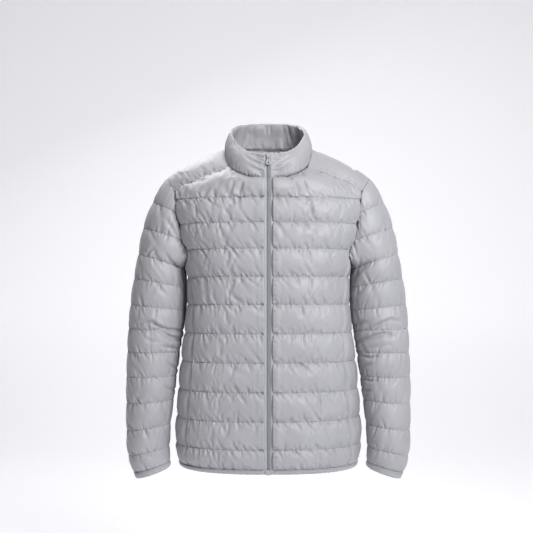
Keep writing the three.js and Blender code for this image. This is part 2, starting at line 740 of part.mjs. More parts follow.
function welt_rows() {
  const rows = [];
  for (let k = 0; k < line_count; k += 1) for (const t of baffle_steps) rows.push(k + t);
  return rows.filter((v) => line_z(v) < welt_top_z && line_z(v) > welt_bottom_z);
}

// The welt lies along the pocket opening, over the front panel's last strip of cloth beside the seam
function pocket_welt(name, side) {
  const [inside, outside] = seam_columns.slice(-2);
  const face = (u, v) => {
    const near = panel_spot(side, 1, inside, v);
    const far = panel_spot(side, 1, outside, v);
    near.point.addScaledVector(near.out, front_height(inside, v));
    far.point.addScaledVector(far.out, front_height(outside, v));
    return { point: near.point.lerp(far.point, u), out: near.out.lerp(far.out, u).normalize() };
  };
  return wall({
    name,
    spot: face,
    raised: (u) => welt_lift + welt_height + (u === welt_columns[1] ? 0.5 : 0),
    columns: welt_columns,
    outer_rows: welt_rows(),
    inner_rows: welt_rows(),
    thickness: -welt_lift,
  });
}

const wasm = await Module();
wasm.setup();

function united(geometries) {
  const solids = geometries.map((geometry) => {
    const bare = new THREE.BufferGeometry().setAttribute("position", geometry.getAttribute("position"));
    const joined = mergeVertices(bare);
    return new wasm.Manifold(new wasm.Mesh({
      numProp: 3,
      vertProperties: joined.getAttribute("position").array,
      triVerts: new Uint32Array(joined.index.array),
    }));
  });
  const mesh = wasm.Manifold.union(solids).getMesh();
  const geometry = new THREE.BufferGeometry();
  geometry.setAttribute("position", new THREE.BufferAttribute(mesh.vertProperties, 3));
  geometry.setIndex(new THREE.BufferAttribute(mesh.triVerts, 1));
  return geometry;
}

// A flat piece from its outline and holes, between two heights
function plate(outline, holes, low, high) {
  const shape = new THREE.Shape(THREE.ShapeUtils.isClockWise(outline) ? outline.slice().reverse() : outline);
  shape.holes.push(...holes);
  return new THREE.ExtrudeGeometry(shape, { depth: high - low, bevelEnabled: false }).translate(0, 0, low);
}

const corner = (x, y) => new THREE.Vector2(x, y);

function mirrored(points) {
  return [...points, ...points.map((p) => corner(-p.x, p.y)).reverse()];
}

// Carries a piece from the slider's frame to its place on the zip
function on_zip(geometry, row, name, material) {
  const up = zip_point(0, row + 0.02).sub(zip_point(0, row - 0.02)).normalize();
  const across = new THREE.Vector3(1, 0, 0);
  const out = across.clone().cross(up);
  const place = new THREE.Matrix4().makeBasis(across, up, out).setPosition(zip_point(0, row));
  geometry.applyMatrix4(place);
  geometry.computeVertexNormals();
  const mesh = new THREE.Mesh(geometry, material);
  mesh.name = name;
  return mesh;
}

function zip_slider(name) {
  const shield = mirrored([corner(2.6, plate_end), corner(3.7, plate_end + 2), corner(3.9, 3),
    corner(4.9, 7.5), corner(4.6, 10), corner(2.2, plate_top)]);
  const top = plate_lift + plate_thickness;
  const reach = bar_half + bar_clearance;
  const outer = reach + bridge_wall;
  const arch = new THREE.Shape([corner(-outer, -1), corner(outer, -1), corner(outer, 2 * reach + 0.4),
    corner(outer - 0.8, 2 * reach + bridge_wall), corner(0.8 - outer, 2 * reach + bridge_wall),
    corner(-outer, 2 * reach + 0.4)]);
  arch.holes.push(new THREE.Path([corner(-reach, 0), corner(reach, 0), corner(reach, 2 * reach),
    corner(-reach, 2 * reach)]));
  const bridge = new THREE.ExtrudeGeometry(arch, { depth: 2 * bridge_half_width, bevelEnabled: false });
  bridge.translate(0, top, -bridge_half_width).applyMatrix4(new THREE.Matrix4().makeBasis(
    new THREE.Vector3(0, 1, 0), new THREE.Vector3(0, 0, 1), new THREE.Vector3(1, 0, 0)));
  return on_zip(united([plate(shield, [], plate_lift, top), bridge]), hinge_row, name, painted_metal);
}

function zip_pull_tab(name) {
  const round_end = [];
  for (let step = 0; step <= 6; step += 1) {
    const angle = (Math.PI / 2) * (step / 6);
    const drop = tab_end_radius * (1 - Math.sin(angle));
    round_end.push(corner(tab_end_radius * Math.cos(angle), tab_end + drop));
  }
  const neck = [corner(2.2, bar_half), corner(3, 0), corner(tab_neck_half, tab_window_end - 1)];
  const outline = mirrored([...neck, ...round_end.slice(0, -1)]);
  const window = new THREE.Path([corner(-tab_window_half, -bar_half), corner(tab_window_half, -bar_half),
    corner(tab_window_half, tab_window_end), corner(-tab_window_half, tab_window_end)]);
  const hole = new THREE.Path([...Array(hole_sides).keys()].map((step) => {
    const angle = (-2 * Math.PI * step) / hole_sides;
    return corner(hole_radius * Math.cos(angle), tab_end + tab_end_radius + hole_radius * Math.sin(angle));
  }));
  const tab = plate(outline, [window, hole], hinge_height - bar_half, hinge_height + bar_half);
  return on_zip(tab, hinge_row, name, painted_metal);
}

function zip_end_box(name) {
  const side_height = box_half_height - 0.8;
  const box = mirrored([corner(box_half_width - 0.8, -box_half_height), corner(box_half_width, -side_height),
    corner(box_half_width, side_height), corner(box_half_width - 0.8, box_half_height)]);
  return on_zip(plate(box, [], box_low, box_high), box_row, name, painted_metal);
}

const group = new THREE.Group();
group.name = "quilted_jacket";
for (const [word, side] of [["left", 1], ["right", -1]]) {
  group.add(front_panel("front_" + word, side));
  group.add(side_panel("side_" + word, side));
  group.add(yoke("yoke_" + word, side));
  group.add(sleeve("sleeve_" + word, side));
  group.add(cuff_binding("cuff_binding_" + word, side));
  group.add(pocket_welt("pocket_welt_" + word, side));
  const near = side * (chain_half_width + seam_gap);
  const far = side * (zip_half_width - seam_gap);
  group.add(zip_strip("zip_tape_" + word, near, far, tape_height, zip_rows, zip_cloth));
}
group.add(back_panel("back"));
group.add(collar("collar"));
group.add(hem_binding("hem_binding"));
group.add(zip_strip("zip_chain", -chain_half_width, chain_half_width, chain_height, chain_rows, zip_teeth));
group.add(zip_slider("zip_slider"));
group.add(zip_pull_tab("zip_pull_tab"));
group.add(zip_end_box("zip_end_box"));
export default group;
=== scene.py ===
"""A grey quilted jacket with a stand collar, held open as worn.

Sizes are in millimetres until a mesh is made.
"""
import math

import bmesh
import bpy
import numpy as np
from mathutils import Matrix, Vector


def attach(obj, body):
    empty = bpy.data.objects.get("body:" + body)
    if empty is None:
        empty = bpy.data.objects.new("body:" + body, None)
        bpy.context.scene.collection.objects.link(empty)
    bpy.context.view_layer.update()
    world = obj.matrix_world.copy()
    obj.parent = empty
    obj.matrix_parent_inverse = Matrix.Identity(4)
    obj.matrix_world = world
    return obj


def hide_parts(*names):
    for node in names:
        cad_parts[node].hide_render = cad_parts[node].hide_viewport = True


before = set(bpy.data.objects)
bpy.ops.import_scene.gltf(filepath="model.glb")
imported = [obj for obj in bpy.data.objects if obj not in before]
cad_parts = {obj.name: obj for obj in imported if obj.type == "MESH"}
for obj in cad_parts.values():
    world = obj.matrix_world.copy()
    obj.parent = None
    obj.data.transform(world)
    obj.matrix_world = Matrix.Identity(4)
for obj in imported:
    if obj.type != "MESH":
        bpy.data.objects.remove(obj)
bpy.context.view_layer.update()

# Driving sizes
MM = 0.001
CLOTH_WALL = 2.2
BAFFLE_CROWN = 7.0
SECTION_POWER = 2.5
ZIP_HALF_WIDTH = 10.3
HEM_SEAM_Z = -664.0
HEM_BOTTOM_Z = -673.0
FIRST_LINE_Z = -113.0
CHEST_BULGE = 9.0
UNDERARM_Z = -243.0
UNDERARM_RISE = 12.0
UNDERARM_LINE = 7
NECK_SHARE = 0.4
YOKE_TURN = 62.0
BACK_YOKE_TURN = 120.0
SEAM_GAP = 0.3

# Heights of the stitch lines round the body, from the hem seam up
BODY_LINES = np.array([HEM_SEAM_Z, -624, -568, -510, -451, -392, -333, -276, -219, -165, FIRST_LINE_Z])
LINE_COUNT = len(BODY_LINES) - 1

# The body's section at each height over the stitch lines: z, half width, half depth
BODY_SECTIONS = np.array([
    (HEM_BOTTOM_Z, 187, 126), (HEM_SEAM_Z, 190, 128), (-624, 197.5, 134), (-568, 193, 133), (-510, 189, 132),
    (-451, 184, 130), (-392, 177, 128), (-333, 172, 127), (-280, 170, 126), (UNDERARM_Z, 177, 125),
    (-219, 181.6, 124), (-165, 200, 120), (FIRST_LINE_Z, 208, 112)])

# The front panel's outer edge: z, x
PANEL_EDGE = np.array([
    (HEM_BOTTOM_Z, 165), (HEM_SEAM_Z, 167), (-624, 169), (-568, 165), (-490, 158), (-415, 154), (-355, 153),
    (-285, 158), (-231, 167), (-193, 181), (-161, 189), (-124, 194), (FIRST_LINE_Z, 195.5)])

# The neck seam and the collar's top edge, by the angle from the front: turn, x, y, z
NECK_SEAM = np.array([
    (0, 0, -95, -72), (25, 40, -91, -69), (45, 66, -78, -58), (62, 83, -57, -43), (76, 90.2, -33, -20.6),
    (83, 93, -18, -9.2), (90, 94, -4, -1), (120, 84, 34, 8), (150, 48, 56, 12), (180, 0, 64, 13)])
COLLAR_EDGE = np.array([
    (0, 0, -82, -18), (25, 34, -78, -14), (45, 56, -66, -3), (62, 70, -48, 14), (76, 77, -26, 32),
    (90, 79, -2, 46), (120, 70, 28, 62), (150, 40, 46, 69), (180, 0, 52, 71)])

# The shoulder from the neck (0) to the armhole (1): along, x, y, z
YOKE_FRONT = np.array([(0, 83, -57, -43), (0.35, 125, -58, -59), (0.75, 169, -54, -76), (1, 199, -46, -93)])
SHOULDER_CREST = np.array([(0, 94, -4, -1), (0.45, 150, -2, -24), (0.78, 192, 0, -43), (1, 220, 0, -61.5)])
YOKE_BACK = np.array([(0, 84, 34, 8), (0.45, 140, 52, -30), (0.75, 174, 55, -58), (1, 199, 46, -93)])

# The sleeve's rings: line, outer x, outer z, inner x, inner z, middle y, half depth
SLEEVE_RINGS = np.array([
    (3, 279, -224, 181, -257, 0, 61), (4, 289, -277, 176.5, -296, -1, 61),
    (5, 296, -334, 177.5, -348, -4, 60), (6, 299, -385, 184, -388, -9, 58),
    (7, 300, -434, 191, -434, -14, 56), (8, 301, -485, 198, -485, -20, 54),
    (9, 300, -540, 203, -534, -26, 53), (10, 298, -597, 209, -584, -32, 50),
    (11, 296, -650, 211, -633, -37, 47), (12, 281, -687, 208, -666, -40, 37),
    (13, 276, -697, 210, -675, -41, 35)])
FIRST_RING = 3
CUFF_LINE = 12
HEAD_LINES = ((251, -114, 0.436), (267, -170, 0.33))
YOKE_EDGE_TURN = 38.0
FIRST_LINE_TURN = 46.0
UNDERARM_TURN = 140.0
HEAD_BULGE = 11.0
FRONT_BULGE = 6.0
ARMHOLE_GAP = 0.4
UNDERARM_GAP = 1.2
ZIP_TURN = 25 * ZIP_HALF_WIDTH / 40

# How far a table is smoothed: in millimetres of height, in sleeve lines and in degrees round the collar
SECTION_SMOOTHING = 25
EDGE_SMOOTHING = 20
RING_SMOOTHING = 0.45
COLLAR_SMOOTHING = 9

# The mesh of the quilted panels and the run of cloth that swells them
ROWS = 12
ROW_CROWDING = 0.5
FINE_ROWS = 2 * ROWS
INNER_STEP = 8
SLEEVE_CAP = 6.5
SIM_FRAMES = 18
CLOTH_GROWTH = 0.025
CLOTH_PRESSURE = 4.0

# The collar: its padding, and its rows outside, over the roll and inside
COLLAR_PADDING = 6.0
COLLAR_OUTSIDE = 13
COLLAR_ROLL = 4
COLLAR_INSIDE = 9

# How deep and high folds go, the groove beside a panel seam and the padding that leans over the zip
DEEPEST_FOLD = -3.4
HIGHEST_FOLD = 2.2
DEEPEST_AT_SEAM = -1.9
DEEPER_FROM_SEAM = 0.3
SEAM_SWAY = 1.6
SEAM_DEPTH = 1.8
SEAM_HALF_WIDTH = 2.6
OVERHANG = 2.3
OVERHANG_REACH = 7.0

# The zip's ends, counted in stitch lines, the threads and the pockets
ZIP_BOTTOM_ROW = -0.22
ZIP_TOP_ROW = LINE_COUNT + 2.0
STITCH_PITCH = 3.4
STITCH_LENGTH = 2.7
STITCH_HALF_WIDTH = 0.34
STITCH_HEIGHT = 0.42
STITCHED_BAFFLES = 7.6
PANEL_SEAM_ROWS = int(STITCHED_BAFFLES * FINE_ROWS)
WELT_TOP_Z = -415.0
WELT_BOTTOM_Z = -572.0


def columns_at(table, value):
    """Straight interpolation of a table's other columns by its first one, run on past both ends."""
    keys = table[:, 0]
    i = np.clip(np.searchsorted(keys, value, side="right") - 1, 0, len(keys) - 2)
    share = (value - keys[i]) / (keys[i + 1] - keys[i])
    return [table[i, k] + (table[i + 1, k] - table[i, k]) * share for k in range(1, table.shape[1])]


def smoothed(table, value, reach):
    """The same, averaged over a short stretch of the first column, so that the surface has no corners."""
    steps = (-1.0, -0.5, 0.0, 0.5, 1.0)
    low, high = table[0, 0], table[-1, 0]
    found = []
    for step in steps:
        near = np.minimum(np.minimum(value - low, high - value), reach)
        found.append(columns_at(table, value + step * np.maximum(near, 0)))
    return [sum(parts) / len(steps) for parts in zip(*found)]


def line_z(v):
    """Height of a place counted in stitch lines up from the hem."""
    k = np.clip(np.floor(v).astype(int), 0, LINE_COUNT - 1)
    return BODY_LINES[k] + (BODY_LINES[k + 1] - BODY_LINES[k]) * (v - k)


def points(x, y, z):
    return np.stack(np.broadcast_arrays(x, y, z), axis=-1).astype(float)


def body_point(side, z, angle):
    """A point of the body's section, by its angle: 90 degrees in front, 0 at the side, -90 at the back."""
    half_width, half_depth = smoothed(BODY_SECTIONS, z, SECTION_SMOOTHING)
    across = np.abs(np.cos(angle)) ** (2 / SECTION_POWER)
    deep = np.sign(np.sin(angle)) * np.abs(np.sin(angle)) ** (2 / SECTION_POWER)
    return points(side * half_width * across, -half_depth * deep, z)


def angle_at(x, z):
    half_width = smoothed(BODY_SECTIONS, z, SECTION_SMOOTHING)[0]
    return np.arccos(np.clip(x / half_width, 0, 1) ** (SECTION_POWER / 2))


def edge_x(z):
    return smoothed(PANEL_EDGE, z, EDGE_SMOOTHING)[0]


def along_yoke(share):
    return (share - NECK_SHARE) / (1 - NECK_SHARE)


def top_edge(side, facing, share):
    """The top edge of the front (facing 1) or the back (-1): first the neck seam, then the yoke seam."""
    yoke = YOKE_FRONT if facing > 0 else YOKE_BACK
    first, last = (ZIP_TURN, YOKE_TURN) if facing > 0 else (180.0, BACK_YOKE_TURN)
    turned = (last - first) * np.minimum(share, NECK_SHARE) / NECK_SHARE
    on_neck = points(*columns_at(NECK_SEAM, first + turned))
    on_yoke = points(*columns_at(yoke, along_yoke(np.maximum(share, NECK_SHARE))))
    found = np.where(share[..., None] > NECK_SHARE, on_yoke, on_neck)
    found[..., 0] *= side
    return found


def panel_base(side, facing, share, v):
    """A front or back panel: share runs from the middle to the panel seam, v counts stitch lines."""
    z = line_z(np.minimum(v, LINE_COUNT))
    middle = angle_at(ZIP_HALF_WIDTH, z) if facing > 0 else np.full_like(z, math.pi / 2)
    edge = angle_at(edge_x(z), z)
    low = body_point(side, z, facing * (middle + (edge - middle) * share))
    t = np.clip(v - LINE_COUNT, 0, None)[..., None]
    swell = (CHEST_BULGE * (1 - share))[..., None] * 4 * t * (1 - t)
    lifted = low + (top_edge(side, facing, share) - low) * t + swell * np.array([0, -facing, 0.5])
    return np.where(t > 0, lifted, low)


def side_base(side, across, v):
    """The side panel: across runs from -1 at the front seam to 1 at the back seam."""
    top = UNDERARM_Z + UNDERARM_RISE * across ** 2
    low = BODY_LINES[UNDERARM_LINE]
    above = low + (top - low) * (v - UNDERARM_LINE)
    z = np.where(v > UNDERARM_LINE, above, line_z(np.minimum(v, UNDERARM_LINE)))
    return body_point(side, z, -across * angle_at(edge_x(z), z))


def yoke_base(side, along, across):
    """The yoke: along runs from the neck to the armhole, across from the front seam to the back one."""
    front, crest, back = (points(*columns_at(t, along)) for t in (YOKE_FRONT, SHOULDER_CREST, YOKE_BACK))
    q = across[..., None]
    found = front * (1 - q) * (1 - 2 * q) + crest * 4 * q * (1 - q) + back * q * (2 * q - 1)
    found[..., 0] *= side
    return found


def armhole(side, turn):
    """The armhole, by the angle round it: 0 at the shoulder tip, 90 at the front, 180 under the arm."""
    turn = np.mod(turn, 360.0)
    half = np.where(turn > 180, 360 - turn, turn)
    one = np.ones_like(half)
    on_yoke = yoke_base(side, one, 0.5 - 0.5 * np.minimum(half, YOKE_EDGE_TURN) / YOKE_EDGE_TURN)
    share = np.clip((half - YOKE_EDGE_TURN) / (FIRST_LINE_TURN - YOKE_EDGE_TURN), 0, 1)[..., None]
    corner = top_edge(side, 1, one)
    on_chest = corner + (panel_base(side, 1, one, one * LINE_COUNT) - corner) * share
    fall = np.clip((half - FIRST_LINE_TURN) / (UNDERARM_TURN - FIRST_LINE_TURN), 0, 1)
    z = FIRST_LINE_Z + (UNDERARM_Z + UNDERARM_RISE - FIRST_LINE_Z) * fall
    on_edge = body_point(side, z, angle_at(edge_x(z), z))
    across = np.clip((half - 180) / (180 - UNDERARM_TURN), -1, 0)
    under = side_base(side, across, one * (UNDERARM_LINE + 1))
    h = half[..., None]
    found = np.where(h <= YOKE_EDGE_TURN, on_yoke, np.where(h <= FIRST_LINE_TURN, on_chest,
                     np.where(h <= UNDERARM_TURN, on_edge, under)))
    found[..., 1] *= np.where(turn > 180, -1, 1)
    found[..., 0] += side * (ARMHOLE_GAP + UNDERARM_GAP * (0.5 - 0.5 * np.cos(np.radians(turn))))
    return found


def sleeve_ring(side, turn, line):
    outer_x, outer_z, inner_x, inner_z, mid_y, half_depth = smoothed(SLEEVE_RINGS, line, RING_SMOOTHING)
    swing, reach = np.sin(np.radians(turn)), np.cos(np.radians(turn))
    x = (outer_x + inner_x) / 2 + (outer_x - inner_x) / 2 * reach
    z = (outer_z + inner_z) / 2 + (outer_z - inner_z) / 2 * reach
    return points(side * x, mid_y - half_depth * swing, z)


def sleeve_base(side, turn, run):
    """The sleeve: run is 0 at the armhole, 1 at the first full ring and one more at each stitch line."""
    w = np.minimum(run, 1.0)[..., None]
    start = armhole(side, turn)
    found = start + (sleeve_ring(side, turn, np.full_like(run, FIRST_RING)) - start) * w
    swell = 4 * w[..., 0] * (1 - w[..., 0])
    outward = HEAD_BULGE * np.clip(np.cos(np.radians(turn)), 0, 1) ** 2 * swell
    found += points(side * 0.94 * outward, -FRONT_BULGE * np.sin(np.radians(turn)) * swell, 0.34 * outward)
    rings = sleeve_ring(side, turn, FIRST_RING + np.maximum(run, 1.0) - 1)
    return np.where(run[..., None] > 1, rings, found)


def head_run(side, turn, head):
    """How far down the sleeve head a stitch line lies, or 0 where it has run into the armhole."""
    outer_x, outer_z, fall = head

    def above(run):
        p = sleeve_base(side, turn, run)
        return p[..., 2] - (outer_z - fall * (outer_x - side * p[..., 0]))

    low, high = np.zeros_like(turn), np.ones_like(turn)
    for _ in range(24):
        middle = (low + high) / 2
        over = above(middle) > 0
        low, high = np.where(over, middle, low), np.where(over, high, middle)
    return np.where(above(np.zeros_like(turn)) > 0, low, 0.0)


def sleeve_run(side, turn, v):
    zero = np.zeros_like(turn)
    heads = [head_run(side, turn, line) for line in HEAD_LINES]
    stops = np.stack([zero, *heads, zero + 1])
    k = np.clip(np.floor(v).astype(int), 0, 2)
    low = np.take_along_axis(stops, k[None], 0)[0]
    high = np.take_along_axis(stops, k[None] + 1, 0)[0]
    return np.where(v >= FIRST_RING, v - FIRST_RING + 1, low + (high - low) * (v - k))


def past_the_back(table):
    """The collar's table run on past the centre of the back, where the other half mirrors it."""
    beyond = table[::-1][1:] * np.array([-1, -1, 1, 1]) + np.array([360, 0, 0, 0])
    return np.concatenate([table, beyond])


def collar_base(turn, up):
    """The collar: turn runs from the right edge of the zip, past the back at 180, to the left edge."""
    half = np.where(turn > 180, 360 - turn, turn)
    low = points(*smoothed(past_the_back(NECK_SEAM), half, COLLAR_SMOOTHING))
    high = points(*smoothed(past_the_back(COLLAR_EDGE), half, COLLAR_SMOOTHING))
    found = low + (high - low) * up[..., None]
    bulge = 3.0 * 4 * up * (1 - up)
    x = np.where(half < 90, np.maximum(found[..., 0], ZIP_HALF_WIDTH + 0.1), found[..., 0])
    x = x + bulge * np.sin(np.radians(half))
    y = found[..., 1] - bulge * np.cos(np.radians(half))
    return points(np.where(turn > 180, -1, 1) * x, y, found[..., 2])


def unit(vectors):
    return vectors / np.maximum(np.linalg.norm(vectors, axis=-1, keepdims=True), 1e-9)


def outward(grid, inner_point, closed=False):
    """Outward directions of a grid of points, on the side away from an inner point or line of points."""
    if closed:
        wrapped = np.concatenate([grid[-1:], grid, grid[:1]])
        along = (wrapped[2:] - wrapped[:-2])
    else:
        along = np.gradient(grid, axis=0)
    up = np.gradient(grid, axis=1)
    for _ in range(2):
        up = up + 1e-3 * (np.roll(up, 1, axis=0) + np.roll(up, -1, axis=0))
    out = unit(np.cross(along, up))
    away = grid - inner_point
    flip = np.sign(np.median(np.sum(out * away, axis=-1)))
    return out * (flip if flip else 1)


def noise(seed, shape, waves, closed=False):
    """Smooth seeded unevenness between -1 and 1 over a grid, with about this many waves along each side."""
    rng = np.random.default_rng(seed)
    u = np.linspace(0, 1, shape[0], endpoint=not closed)[:, None]
    v = np.linspace(0, 1, shape[1])[None, :]
    total = np.zeros(shape)
    for _ in range(14):
        a = rng.uniform(0.3, 1.0) * waves[0]
        a = round(a) if closed else a
        b = rng.uniform(-1.0, 1.0) * waves[1]
        total += np.sin(2 * math.pi * (a * u + b * v + rng.uniform()))
    return total / 5.0


def midpoints(grid, axis, closed):
    """Doubles a grid along an axis, with smooth in-between points."""
    g = np.moveaxis(grid, axis, 0)
    if closed:
        before, after, last = np.roll(g, 1, 0), np.roll(g, -1, 0), np.roll(g, -2, 0)
        middle = (9 * (g + after) - before - last) / 16
        out = np.empty((2 * len(g),) + g.shape[1:])
        out[0::2], out[1::2] = g, middle
    else:
        padded = np.concatenate([2 * g[:1] - g[1:2], g, 2 * g[-1:] - g[-2:-1]])
        middle = (9 * (padded[1:-2] + padded[2:-1]) - padded[:-3] - padded[3:]) / 16
        out = np.empty((2 * len(g) - 1,) + g.shape[1:])
        out[0::2], out[1::2] = g, middle
    return np.moveaxis(out, 0, axis)


def finer(grid, closed):
    return midpoints(midpoints(grid, 0, closed), 1, False)


def grid_faces(columns, rows, closed, first=0):
    """Faces of a grid of points numbered column by column."""
    c = np.arange(columns if closed else columns - 1)
    r = np.arange(rows - 1)
    c, r = (a.ravel() for a in np.meshgrid(c, r, indexing="ij"))
    d = (c + 1) % columns
    return first + np.stack([c * rows + r, d * rows + r, d * rows + r + 1, c * rows + r + 1], axis=1)


def new_object(name, vertices, faces, material):
    mesh = bpy.data.meshes.new(name)
    mesh.from_pydata([tuple(v) for v in vertices.tolist()], [], faces)
    mesh.update()
    mesh.materials.append(material)
    piece = bpy.data.objects.new(name, mesh)
    bpy.context.scene.collection.objects.link(piece)
    mesh.polygons.foreach_set("use_smooth", [True] * len(mesh.polygons))
    return piece


def wall_object(name, outer, inner, closed, material):
    """A closed wall from an outer grid and a plainer inner grid with the same columns, in metres."""
    columns, rows, inner_rows = outer.shape[0], outer.shape[1], inner.shape[1]
    vertices = np.concatenate([outer.reshape(-1, 3), inner.reshape(-1, 3)]) * MM
    start = columns * rows
    faces = grid_faces(columns, rows, closed).tolist()
    faces += grid_faces(columns, inner_rows, closed, start)[:, ::-1].tolist()
    for c in range(columns if closed else columns - 1):
        d = (c + 1) % columns
        faces.append([c * rows, start + c * inner_rows, start + d * inner_rows, d * rows])
        top, inner_top = rows - 1, inner_rows - 1
        faces.append([c * rows + top, d * rows + top, start + d * inner_rows + inner_top,
                      start + c * inner_rows + inner_top])
    if not closed:
        marks = [round(r * (rows - 1) / (inner_rows - 1)) for r in range(inner_rows)]
        for c, turn in ((0, False), (columns - 1, True)):
            for r in range(inner_rows - 1):
                edge = [c * rows + q for q in range(marks[r], marks[r + 1] + 1)]
                edge += [start + c * inner_rows + r + 1, start + c * inner_rows + r]
                faces.append(edge[::-1] if turn else edge)
    piece = new_object(name, vertices, faces, material)
    tidy_mesh(piece)
    return piece


def tidy_mesh(piece):
    """Joins points that coincide, splits the long edge faces and turns every face outwards."""
    work = bmesh.new()
    work.from_mesh(piece.data)
    bmesh.ops.remove_doubles(work, verts=work.verts, dist=2e-5)
    bmesh.ops.triangulate(work, faces=[f for f in work.faces if len(f.verts) > 4])
    bmesh.ops.recalc_face_normals(work, faces=work.faces)
    work.to_mesh(piece.data)
    work.free()
    piece.data.polygons.foreach_set("use_smooth", [True] * len(piece.data.polygons))


# Every padded panel, gathered here before the cloth is simulated
panels = []


def add_panel(name, grid, out, pinned, crown, closed=False, cap=11.0):
    """Keeps a panel's base grid, its outward directions, its stitched points and the height it starts at."""
    panels.append({"name": name, "grid": grid, "out": out, "pinned": pinned, "crown": crown,
                   "closed": closed, "cap": cap})


def swell(v):
    """The rounded rise of a baffle between two stitch lines."""
    t = v - np.floor(v)
    return np.sin(np.pi * t) ** 0.62


def edge_share(distance, reach):
    return np.clip(distance / reach, 0, 1) ** 0.6


def panel_grid(columns, bands):
    """Rows of points close together by the stitch lines and wider apart between them."""
    v = np.linspace(0, bands, bands * ROWS + 1)
    v = v - ROW_CROWDING * np.sin(2 * np.pi * v) / (2 * np.pi)
    v[::ROWS] = np.round(v[::ROWS])
    return np.meshgrid(columns, v, indexing="ij")


def body_panels():
    """The fronts, the sides and the back."""
    front = np.linspace(0.0008, 1, 37)
    for word, side in (("left", 1), ("right", -1)):
        s, v = panel_grid(front, LINE_COUNT + 1)
        grid = panel_base(side, 1, s, v)
        out = outward(grid, np.array([0, 0, -350]))
        full = np.minimum(0.8 + edge_share(s, 0.06), 1) * edge_share(1 - s, 0.06)
        crown = BAFFLE_CROWN * swell(v) * full
        pinned = (np.abs(v - np.round(v)) < 1e-6) | (s < 0.001) | (s > 0.999)
        add_panel("quilt_front_" + word, grid, out, pinned, crown)
        a, v = panel_grid(np.linspace(-1, 1, 23), UNDERARM_LINE + 1)
        grid = side_base(side, a, v)
        out = outward(grid, np.array([0, 0, -450]))
        middle = np.where(v > UNDERARM_LINE - 2, 0.35, 0.6)
        fullness = middle + (0.85 - middle) * np.abs(a)
        crown = BAFFLE_CROWN * swell(v) * edge_share(1 - np.abs(a), 0.18) * fullness
        pinned = (np.abs(v - np.round(v)) < 1e-6) | (np.abs(a) > 0.99)
        add_panel("quilt_side_" + word, grid, out, pinned, crown, cap=7.0)
    b, v = panel_grid(np.linspace(-1, 1, 61), LINE_COUNT + 2)
    # the stretch over the shoulder blades has two baffles
    v_base = np.where(v > LINE_COUNT, LINE_COUNT + (v - LINE_COUNT) / 2, v)
    right, left = (panel_base(side, -1, np.abs(b), v_base) for side in (-1, 1))
    grid = np.where((b < 0)[..., None], right, left)
    out = outward(grid, np.array([0, 0, -350]))
    crown = BAFFLE_CROWN * swell(v) * edge_share(1 - np.abs(b), 0.06)
    pinned = (np.abs(v - np.round(v)) < 1e-6) | (np.abs(b) > 0.999)
    add_panel("quilt_back", grid, out, pinned, crown)


def sleeve_panels():
    turn = np.arange(60) * 6.0
    for word, side in (("left", 1), ("right", -1)):
        u, v = panel_grid(turn, CUFF_LINE)
        run = sleeve_run(side, u, v)
        grid = sleeve_base(side, u, run)
        centre = np.array([side * 235.0, -15.0, 0]) + np.zeros_like(grid)
        centre[..., 2] = grid[..., 2]
        centre[..., 0] = side * np.interp(-grid[..., 2], [60, 200, 330, 560, 700], [195, 222, 238, 252, 243])
        out = sleeve_outward(side, u, run, centre)
        k = np.floor(np.minimum(v, CUFF_LINE - 1e-6))
        low, high = (sleeve_base(side, u, sleeve_run(side, u, k + step)) for step in (0, 1))
        reach = np.linalg.norm(high - low, axis=-1)
        inner = np.clip(-np.cos(np.radians(u)), 0, 1) ** 1.5
        outer = np.clip(np.cos(np.radians(u)), 0, 1) ** 1.5
        beside = np.clip(1 - np.abs(v - 5) / 2, 0, 1)
        pressed = 0.45 * outer + (0.55 + 0.25 * beside) * inner
        crown = BAFFLE_CROWN * swell(v) * np.clip(reach / 40, 0, 1) * (1 - pressed)
        pinned = (np.abs(v - np.round(v)) < 1e-6) | (reach < 14)
        add_panel("quilt_sleeve_" + word, grid, out, pinned, crown, closed=True, cap=SLEEVE_CAP)


def sleeve_outward(side, turn, run, centre):
    """Outward directions over the sleeve, from its slopes, also where its rows run together."""
    along = sleeve_base(side, turn + 1, run) - sleeve_base(side, turn - 1, run)
    down = sleeve_base(side, turn, run + 0.02) - sleeve_base(side, turn, np.maximum(run - 0.02, 0))
    out = unit(np.cross(along, down))
    return out * np.sign(np.median(np.sum(out * (sleeve_base(side, turn, run) - centre), axis=-1)))


def yoke_panels():
    along = np.linspace(0.002, 0.998, 31)
    across = np.linspace(0.002, 0.998, 25)
    for word, side in (("left", 1), ("right", -1)):
        u, v = np.meshgrid(along, across, indexing="ij")
        grid = yoke_base(side, u, v)
        out = outward(grid, np.array([side * 150, 0, -250]))
        rise = (np.sin(np.pi * u) * np.sin(np.pi * v)) ** 0.5
        pinned = (u < 0.003) | (u > 0.997) | (v < 0.003) | (v > 0.997)
        add_panel("quilt_yoke_" + word, grid, out, pinned, 3.0 * rise, cap=6.0)


